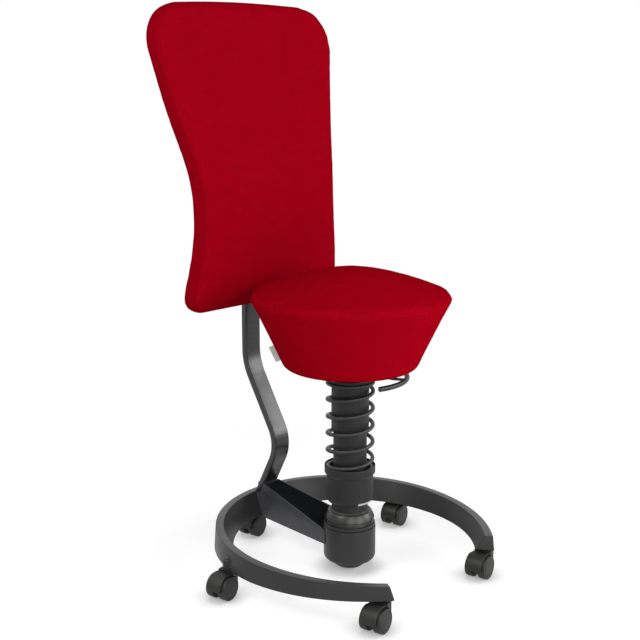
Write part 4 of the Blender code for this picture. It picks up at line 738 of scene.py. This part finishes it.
def makeCasters():
    wheel = wheelShape()
    hood = hoodShape()
    stem = stemShape()
    for number in range(1, 6):
        angle = radians(72 * (number - 1))
        spot = Vector((sin(angle), cos(angle), 0)) * casterRadius * mm
        place = Matrix.Translation(spot) @ Matrix.Rotation(radians(caster["heading"]), 4, "Z")
        body = f"caster{number}"
        for label, shape, look, node in (("fork", hood, casterPolyamide, "hood"), ("pintle", stem, zincSteel, "stem")):
            bm = shape.copy()
            bmesh.ops.transform(bm, matrix=place, verts=bm.verts)
            meshPiece(f"{body}_{label}", bm, body, [f"{body}_{node}"], [look], 32)
        centre = Matrix.Translation((caster["trail"] * mm, 0, caster["wheel"] * mm))
        for label, way in (("a", 90), ("b", -90)):
            bm = wheel.copy()
            for face in bm.faces:  # the pressed-in disc is a shade lighter than the tread
                spot = face.calc_center_median()
                deep, wide = spot.z / mm, Vector(spot[:2]).length / mm
                if deep > caster["outer"] - caster["discDepth"] and wide < caster["disc"]:
                    face.material_index = 1
            turned = place @ centre @ Matrix.Rotation(radians(way), 4, "X")
            bmesh.ops.transform(bm, matrix=turned, verts=bm.verts)
            meshPiece(
                f"{body}_roller_{label}", bm, f"{body}_wheel_{label}", [f"{body}_wheel_{label}"],
                [casterPolyamide, discPolyamide], 32,
            )
    for shape in (wheel, hood, stem):
        shape.free()
    print("casters done")


makeCasters()


# upholstery

def pointsOf(mesh):
    return np.array([v.co for v in mesh.vertices])


def normalsOf(mesh):
    return np.array([v.normal for v in mesh.vertices])


def movePoints(mesh, co):
    mesh.vertices.foreach_set("co", co.ravel())
    mesh.update()


clothRun = {"quality": 5, "mass": 0.3, "steps": 20, "sinkMm": 0.5}


def stretchedCover(obj, held, cover):  # lets the cloth fill out under its padding, then keeps that shape
    mesh = obj.data
    start = pointsOf(mesh)
    obj.vertex_groups.new(name="held").add([int(i) for i in np.nonzero(held)[0]], 1.0, "ADD")
    cloth = obj.modifiers.new("cover", "CLOTH")
    rules = cloth.settings
    rules.quality = clothRun["quality"]
    rules.mass = clothRun["mass"]
    rules.tension_stiffness = rules.compression_stiffness = cover["stiffness"]
    rules.shear_stiffness = cover["stiffness"] / 2
    rules.bending_stiffness = cover["bending"]
    rules.vertex_group_mass = "held"
    rules.use_pressure = True
    rules.uniform_pressure_force = cover["pressure"]
    rules.effector_weights.gravity = 0
    cloth.collision_settings.use_collision = False
    for step in range(1, clothRun["steps"] + 1):
        scene.frame_set(step)
    graph = bpy.context.evaluated_depsgraph_get()
    moved = pointsOf(obj.evaluated_get(graph).to_mesh()) - start
    obj.evaluated_get(graph).to_mesh_clear()
    obj.modifiers.remove(cloth)
    obj.vertex_groups.clear()
    scene.frame_set(1)
    outward = normalsOf(mesh)
    swell = np.sum(moved * outward, axis=1)  # the cover swells but keeps its cut, so only this part counts
    mean, most = swell[~held].mean() / mm, swell.max() / mm
    print(f"{obj.name}: cloth swelled {mean:.1f} mm on average, {most:.1f} mm at most")
    swell = np.clip(swell, -clothRun["sinkMm"] * mm, cover["capMm"] * mm)
    movePoints(mesh, start + outward * swell[:, None])


def remeshed(name, bm, voxel):
    obj = solidObject(bm)
    step = obj.modifiers.new("even", "REMESH")
    step.mode = "VOXEL"
    step.voxel_size = voxel * mm
    graph = bpy.context.evaluated_depsgraph_get()
    mesh = bpy.data.meshes.new_from_object(obj.evaluated_get(graph))
    mesh.name = name
    bpy.data.objects.remove(obj, do_unlink=True)
    return linked(name, mesh)


def relaxed(obj, times, factor, held=None):  # evens the cloth out after a remesh
    mesh = obj.data
    co = pointsOf(mesh)
    ends = np.array([e.vertices[:] for e in mesh.edges])
    count = np.bincount(ends.ravel(), minlength=len(co))[:, None]
    for _ in range(times):
        for way in (factor, -factor * 1.04):  # a push back keeps the size
            total = np.zeros_like(co)
            np.add.at(total, ends[:, 0], co[ends[:, 1]])
            np.add.at(total, ends[:, 1], co[ends[:, 0]])
            co += way * (total / count - co) * (1.0 if held is None else (~held)[:, None])
    movePoints(mesh, co)


def trued(obj, node, short, proud):  # keeps the cover within a few mm of the solid it stands for
    shape = nodes[node].data
    tree = BVHTree.FromPolygons([v.co for v in shape.vertices], [f.vertices[:] for f in shape.polygons])
    for vert in obj.data.vertices:
        near, normal, _, away = tree.find_nearest(vert.co)
        signed = copysign(away, (vert.co - near).dot(normal))
        wanted = min(max(signed, -short * mm), proud * mm)
        if wanted != signed:
            vert.co = near + (vert.co - near) * (wanted / signed)
    obj.data.update()


def refined(obj):  # one subdivision, applied
    step = obj.modifiers.new("finer", "SUBSURF")
    step.levels = step.render_levels = 1
    graph = bpy.context.evaluated_depsgraph_get()
    mesh = bpy.data.meshes.new_from_object(obj.evaluated_get(graph))
    obj.modifiers.clear()
    old = obj.data
    obj.data = mesh
    bpy.data.meshes.remove(old)


def upholstered(obj, held, cover, node):  # from the cut cloth to the finished cover, seams aside
    relaxed(obj, 3, 0.5, held)
    stretchedCover(obj, held, cover)
    relaxed(obj, 2, 0.4, held)
    trued(obj, node, 0.4, cover["proudMm"][0])
    refined(obj)
    trued(obj, node, 0.3, cover["proudMm"][1])
    relaxed(obj, cover["evenings"], 0.5)


def sewnGroove(obj, distance, depth, width):  # draws the cloth in along a seam
    co, normal = pointsOf(obj.data), normalsOf(obj.data)
    sunk = depth * mm * np.exp(-((distance(co, normal) / (width * mm)) ** 2))
    movePoints(obj.data, co - normal * sunk[:, None])


def dressed(obj, weave, body, node, cloth):
    mesh = obj.data
    field = mesh.attributes.new("weave", "FLOAT_VECTOR", "POINT")
    field.data.foreach_set("vector", weave.astype(np.float32).ravel())
    mesh.materials.clear()
    mesh.materials.append(cloth)
    mesh.shade_smooth()
    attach(obj, body)
    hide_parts(node)


seat = {
    "rim": 208.0, "foot": 142.0, "rimLevel": 598.0, "kneeLevel": 459.0, "crown": 51.5, "voxelMm": 6.0,
    "pressure": 4.0, "stiffness": 30.0, "bending": 1.5, "capMm": 5.0, "startMm": -0.8,
    "proudMm": (2.5, 3.0), "evenings": 2, "crownPower": 1.6,
    "rimSeam": 601.5, "rimSeamFrom": 190.0, "rimSeamDepth": 0.8, "seamAngle": 131.7, "seamDepth": 0.7, "seamWidth": 2.6,
}
noSeam = 1.0  # metres, so a point takes no part in a seam


def makeSeat():
    slope = (seat["rim"] - seat["foot"]) / (seat["rimLevel"] - seat["kneeLevel"])
    small = seat["startMm"]

    def side(z):
        return seat["foot"] + slope * (z - seat["kneeLevel"]) - small

    inside = [(0, 592.3, 0), (180.7, 592.3, 0), (180.7, 588, 0)]
    inside += [(188.3, 585.3, 0), (127.2, 456.5, 0), (122.8, 453.1, 0)]
    outside = [(120, 453.1, 0), (123.5, 450.2 + small * 0.4, 2)]
    outside += [(131, 450 + small * 0.4, 4), (141.5 - small, 455.5, 10)]
    outside += [(side(z), z, 0) for z in (480, 520, 560)]
    for radius, z in ((205.6, 590), (208.9, 596.5), (209.4, 599.8), (207.4, 603.6)):
        outside.append((radius - small, z, 0))
    edge = seat["rim"] - 2
    for share in (0.97, 0.92, 0.86, 0.8, 0.72, 0.64, 0.56, 0.48, 0.4, 0.32, 0.24, 0.16, 0.08):
        outside.append((share * edge, 605 + seat["crown"] * (1 - share ** seat["crownPower"]) - small, 0))
    outside.append((0, 605 + seat["crown"] - small, 0))
    bm = turnedShape(rounded(inside + outside, 0.0, 8), 144)
    obj = remeshed("seat_cover", bm, seat["voxelMm"])
    co = pointsOf(obj.data) / mm
    radius = np.hypot(co[:, 0], co[:, 1])
    under = (co[:, 2] < 593.5) & (radius < side(co[:, 2]) - 8) & (co[:, 2] > 456)
    held = under | ((co[:, 2] < 453.6) & (radius < 126))
    upholstered(obj, held, seat, "seat_cushion")

    def toRim(co, normal):  # distance from the seam between crown and side
        radius = np.hypot(co[:, 0], co[:, 1])
        return np.where(radius > seat["rimSeamFrom"] * mm, np.abs(co[:, 2] - seat["rimSeam"] * mm), noSeam)

    def toBackSeam(co, normal):  # the upright seam that the tag is sewn into
        angle = radians(seat["seamAngle"])
        off = -co[:, 0] * sin(angle) + co[:, 1] * cos(angle)
        front = co[:, 0] * cos(angle) + co[:, 1] * sin(angle)
        return np.where((front > 0.1) & (co[:, 2] < 0.6), np.abs(off), noSeam)

    sewnGroove(obj, toRim, seat["rimSeamDepth"], seat["seamWidth"])
    sewnGroove(obj, toBackSeam, seat["seamDepth"], seat["seamWidth"])
    co, normal = pointsOf(obj.data) / mm, normalsOf(obj.data)
    turn = np.arctan2(co[:, 1], co[:, 0]) * 175
    wall = np.stack([turn, co[:, 2] * 1.1, 0 * turn], 1)
    flat = np.stack([co[:, 0], co[:, 1], 0 * turn], 1)
    dressed(obj, np.where((normal[:, 2] > 0.35)[:, None], flat, wall), "seat", "seat_cushion", seatWool)
    print("seat cover:", len(obj.data.vertices), "points")


makeSeat()

back = {
    "bottom": 553.0, "tall": 646.0, "waist": 195.5, "topFlare": 72.5, "footFlare": 18.0,
    "thick": 48.0, "thinner": 6.0, "lumbar": 222.0, "footLean": 22.5, "lean": 86.0,
    "footRound": 38.0, "topRound": 100.0, "edgeRound": 20.0, "arch": 11.0, "soft": 14.0, "crown": 4.0,
    "voxelMm": 6.0, "pressure": 4.0, "stiffness": 30.0, "bending": 1.5, "capMm": 6.0, "startMm": -1.2,
    "proudMm": (3.0, 3.2), "evenings": 3,
    "stapledFrom": 44.0, "borderAt": 13.0, "borderWithin": 14.0, "borderDepth": 1.3, "borderWidth": 4.5,
}


def smoothCurve(knots, values):  # a natural spline
    x, y = np.array(knots), np.array(values)
    h = np.diff(x)
    n = len(x)
    rows = np.eye(n)
    right = np.zeros(n)
    for i in range(1, n - 1):
        rows[i, i - 1:i + 2] = h[i - 1], 2 * (h[i - 1] + h[i]), h[i]
        right[i] = 6 * ((y[i + 1] - y[i]) / h[i] - (y[i] - y[i - 1]) / h[i - 1])
    bend = np.linalg.solve(rows, right)

    def value(at):
        i = np.clip(np.searchsorted(x, at) - 1, 0, n - 2)
        a, b = (x[i + 1] - at) / h[i], (at - x[i]) / h[i]
        return a * y[i] + b * y[i + 1] + ((a**3 - a) * bend[i] + (b**3 - b) * bend[i + 1]) * h[i] ** 2 / 6

    return value


def makeBack():
    bottom, top = back["bottom"], back["bottom"] + back["tall"]
    shares = (0.0, 0.075, 0.15, 0.31, 0.46, 0.61, 0.77, 1.0)
    levels = [bottom + back["tall"] * share for share in shares]
    foot, flare, lean = back["footFlare"], back["topFlare"], back["lean"]
    wider = (foot, foot, 0.6 * foot, 0, 0.085 * flare, 0.385 * flare, 0.695 * flare, flare)
    widthAt = smoothCurve(levels, [back["waist"] + w for w in wider])
    tuck = back["footLean"]
    further = (tuck, 0.56 * tuck, 0.22 * tuck, 0, 0.11 * lean, 0.41 * lean, 0.68 * lean, lean)
    frontAt = smoothCurve(levels, [back["lumbar"] + s for s in further])
    small = back["startMm"]

    def thickAt(z):
        return back["thick"] - back["thinner"] * min(max(((z - bottom) / back["tall"] - 0.5) / 0.25, 0.0), 1.0)

    def halfWidth(z):
        low, high, width = z - bottom, top - z, widthAt(z)
        for near, bend in ((low, back["footRound"]), (high, back["topRound"])):
            if near < bend:
                width += sqrt(max(bend**2 - (bend - near) ** 2, 0.0)) - bend
        return width

    def arched(x, z):
        share = min(max((z - bottom) / back["tall"] - 0.75, 0.0) / 0.25, 1.0)
        return z - back["arch"] * share * (x / (back["waist"] + flare)) ** 2

    ends = [back["edgeRound"] * (1 - cos(a)) for a in np.linspace(0.18, pi / 2, 9)]
    levels = [bottom + e for e in ends]
    levels += list(np.linspace(bottom + 26, top - 106, 44))
    levels += list(np.linspace(top - 99, top - 24, 16)) + [top - e for e in ends[::-1]]
    loops = []
    for z in levels:
        nearest = min(z - bottom, top - z, back["edgeRound"])
        fullness = sqrt(1 - (1 - nearest / back["edgeRound"]) ** 2)
        thick = thickAt(z) * fullness - 2 * small * fullness
        middle = frontAt(z) + thickAt(z) / 2
        half = halfWidth(z) - small
        soft = min(back["soft"], 0.48 * thick)
        crown = back["crown"] * fullness * sin(pi * (z - bottom) / back["tall"])
        front, rear = middle - thick / 2, middle + thick / 2
        reach = half - soft
        loop = []
        for k in range(25):
            x = reach * (k / 12 - 1)
            loop.append((x, front - crown * (1 - (x / reach) ** 2)))
        corners = []
        for x, y, first in ((reach, front + soft, -75), (reach, rear - soft, 0),
                            (-reach, rear - soft, 105), (-reach, front + soft, 180)):
            corners.append([p[:2] for p in arcPoints((x, y), soft, first, first + 75, 5)])
        loop += corners[0] + corners[1]
        loop += [(reach * (1 - k / 12), rear) for k in range(25)]
        loop += corners[2] + corners[3]
        lift = small * (2 * (z - bottom) / back["tall"] - 1)
        loops.append([(x, y, arched(x, z) - lift) for x, y in loop])
    obj = remeshed("back_cover", loftedShape(loops), back["voxelMm"])
    co = pointsOf(obj.data) / mm
    held = co[:, 1] - frontAt(co[:, 2]) > back["stapledFrom"]  # the rear face is stapled to its shell
    upholstered(obj, held, back, "back_cushion")

    def outline(co):  # how far a point lies inside the panel's edge
        z = np.clip(co[:, 2] / mm, bottom, top)
        half = np.array([halfWidth(level) for level in z])
        side = half - np.abs(co[:, 0]) / mm
        return np.minimum(np.minimum(side, co[:, 2] / mm - bottom), top - co[:, 2] / mm)

    def toBorder(co, normal):  # the seam between the front panel and the border
        depth = co[:, 1] / mm - frontAt(co[:, 2] / mm)
        near = (outline(co) < back["borderWithin"]) & (normal[:, 1] < 0.3)
        return np.where(near, np.abs(depth - back["borderAt"]) * mm, noSeam)

    sewnGroove(obj, toBorder, back["borderDepth"], back["borderWidth"])
    co, normal = pointsOf(obj.data) / mm, normalsOf(obj.data)
    zero = 0 * co[:, 0]
    face = np.stack([co[:, 0], co[:, 2], zero], 1)
    flank = np.stack([co[:, 1], co[:, 2], zero], 1)
    ledge = np.stack([co[:, 0], co[:, 1], zero], 1)
    weave = np.where((np.abs(normal[:, 0]) > 0.7)[:, None], flank, face)
    weave = np.where((np.abs(normal[:, 2]) > 0.75)[:, None], ledge, weave)
    dressed(obj, weave, "base", "back_cushion", shadedBackWool)
    print("back cover:", len(obj.data.vertices), "points")


makeBack()

tag = {
    "low": 463.0, "high": 495.0, "out": 12.0, "drop": 5.0, "fold": 0.45, "curl": 0.9,
    "flap": 0.46,  # share of the ribbon's length on each side of its fold
}


def makeTag():  # a blank ribbon folded double and caught in the seat's rear seam
    slope = (seat["rim"] - seat["foot"]) / (seat["rimLevel"] - seat["kneeLevel"])
    flap = tag["flap"]
    bm = bmesh.new()
    rows = []
    for k in range(25):
        t = k / 24
        if t < flap:
            out, lift = t / flap, tag["fold"]
        elif t > 1 - flap:
            out, lift = (1 - t) / flap, -tag["fold"]
        else:
            a = pi * (t - flap) / (1 - 2 * flap)
            out, lift = 1 + 0.04 * sin(a), tag["fold"] * cos(a)
        row = []
        for n in range(13):
            s = n / 12
            z = tag["low"] + (tag["high"] - tag["low"]) * s
            foot = seat["foot"] + slope * (z - seat["kneeLevel"]) + 0.1
            curl = tag["curl"] * out**2 * sin(pi * s)
            row.append(bm.verts.new(Vector((foot + tag["out"] * out, lift + curl, z - tag["drop"] * out)) * mm))
        rows.append(row)
    for low, high in zip(rows, rows[1:]):
        for n in range(12):
            bm.faces.new((low[n], low[n + 1], high[n + 1], high[n]))
    turn = Matrix.Rotation(radians(seat["seamAngle"]), 3, "Z")
    bmesh.ops.rotate(bm, verts=bm.verts, cent=(0, 0, 0), matrix=turn)
    obj = meshPiece("tag_ribbon", bm, "seat", ["sewn_tag"], [tagRibbon], 80)


makeTag()
print("upholstery done")


# floor, backdrop and lamps

studio = {
    "floorHalf": 12.0, "floorGlow": 0.70, "floorShare": 0.5, "floorTone": "#F2F2F2", "ambient": 0.02,
    # the contact entries set a painted contact shadow in the floor's glow
    "contactShadowReach": 0.045, "contactShadowGlow": 0.3, "shadowFrom": 0.55, "shadowTo": 1.3, "aim": (0.0, 0.1, 0.6),
    "key": {"place": (2.3, -2.0, 1.4), "size": 1.8, "watts": 40.0},
    "front": {"place": (0.3, -3.2, 1.4), "size": 2.2, "watts": 50.0},
    "fill": {"place": (-2.1, -2.6, 1.9), "size": 2.2, "watts": 48.0},
    "side": {"place": (-2.6, 0.5, 2.9), "size": 2.2, "watts": 54.0},
    "top": {"place": (0.2, 0.1, 5.0), "size": 3.0, "watts": 18.0},
    "rear": {"place": (-0.9, 3.2, 2.4), "size": 2.2, "watts": 16.0},
}


def seenRays(add):  # rays that should meet plain white: from the camera, off a gloss or through glass
    path = add("LightPath", {})
    seen = path.outputs["Is Camera Ray"]
    for kind in ("Is Glossy Ray", "Is Transmission Ray"):
        seen = add("Math", {"operation": "MAXIMUM"}, {0: seen, 1: path.outputs[kind]})
    return seen


def makeStudio():
    scene.view_settings.view_transform = "Standard"
    half = studio["floorHalf"]
    bm = bmesh.new()
    bmesh.ops.create_grid(bm, x_segments=8, y_segments=8, size=half)
    mesh = bpy.data.meshes.new("studio_floor")
    bm.to_mesh(mesh)
    bm.free()
    floor = linked("studio_floor", mesh)
    paper = bpy.data.materials.new("paperSweepWhite")  # seen directly it is white, with the stool's shadow kept
    paper.use_nodes = True
    tree = paper.node_tree
    tree.nodes.clear()
    add = partial(addNode, tree)
    matt = add("BsdfDiffuse", {"Color": linear(studio["floorTone"])})
    share = studio["floorShare"]
    shade = add("BsdfDiffuse", {"Color": (share, share, share, 1.0)})
    near = add("AmbientOcclusion", {"samples": 16, "Distance": studio["contactShadowReach"]})  # painted contact shadow: the floor's glow dims under a wheel
    level = add(
        "MapRange", {"From Min": 0.5, "To Min": studio["contactShadowGlow"], "To Max": studio["floorGlow"]},
        {"Value": near.outputs["AO"]},
    )
    glow = add("Emission", {"Color": (1, 1, 1, 1)}, {"Strength": level})
    both = add("AddShader", {}, {0: shade, 1: glow})
    place = add("TexCoord", {})
    away = add("VectorMath", {"operation": "LENGTH"}, {0: place.outputs["Object"]})
    fade = add(
        "MapRange",
        {"interpolation_type": "SMOOTHSTEP", "From Min": studio["shadowFrom"], "From Max": studio["shadowTo"]},
        {"Value": away.outputs["Value"]},
    )
    plain = add("Emission", {"Color": (1, 1, 1, 1), "Strength": 1.0})  # the sweep beyond the shadow
    both = add("MixShader", {}, {0: fade, 1: both, 2: plain})
    mixed = add("MixShader", {}, {0: seenRays(add), 1: matt, 2: both})
    add("OutputMaterial", {}, {"Surface": mixed})
    mesh.materials.append(paper)

    world = bpy.data.worlds.new("whiteStudio")
    scene.world = world
    world.use_nodes = True
    tree = world.node_tree
    tree.nodes.clear()
    add = partial(addNode, tree)
    soft = add("Background", {"Color": (1, 1, 1, 1), "Strength": studio["ambient"]})
    white = add("Background", {"Color": (1, 1, 1, 1), "Strength": 1.0})
    mixed = add("MixShader", {}, {0: seenRays(add), 1: soft, 2: white})
    add("OutputWorld", {}, {"Surface": mixed})

    for name in ("key", "front", "fill", "side", "top", "rear"):
        lamp = studio[name]
        data = bpy.data.lights.new(name + "Panel", "AREA")
        data.shape = "DISK"
        data.size = lamp["size"]
        data.energy = lamp["watts"]
        obj = linked(name + "Panel", data)
        obj.location = lamp["place"]
        aim = Vector(studio["aim"]) - Vector(lamp["place"])
        obj.rotation_euler = aim.to_track_quat("-Z", "Y").to_euler()
        obj.visible_camera = False


makeStudio()
print("studio done")
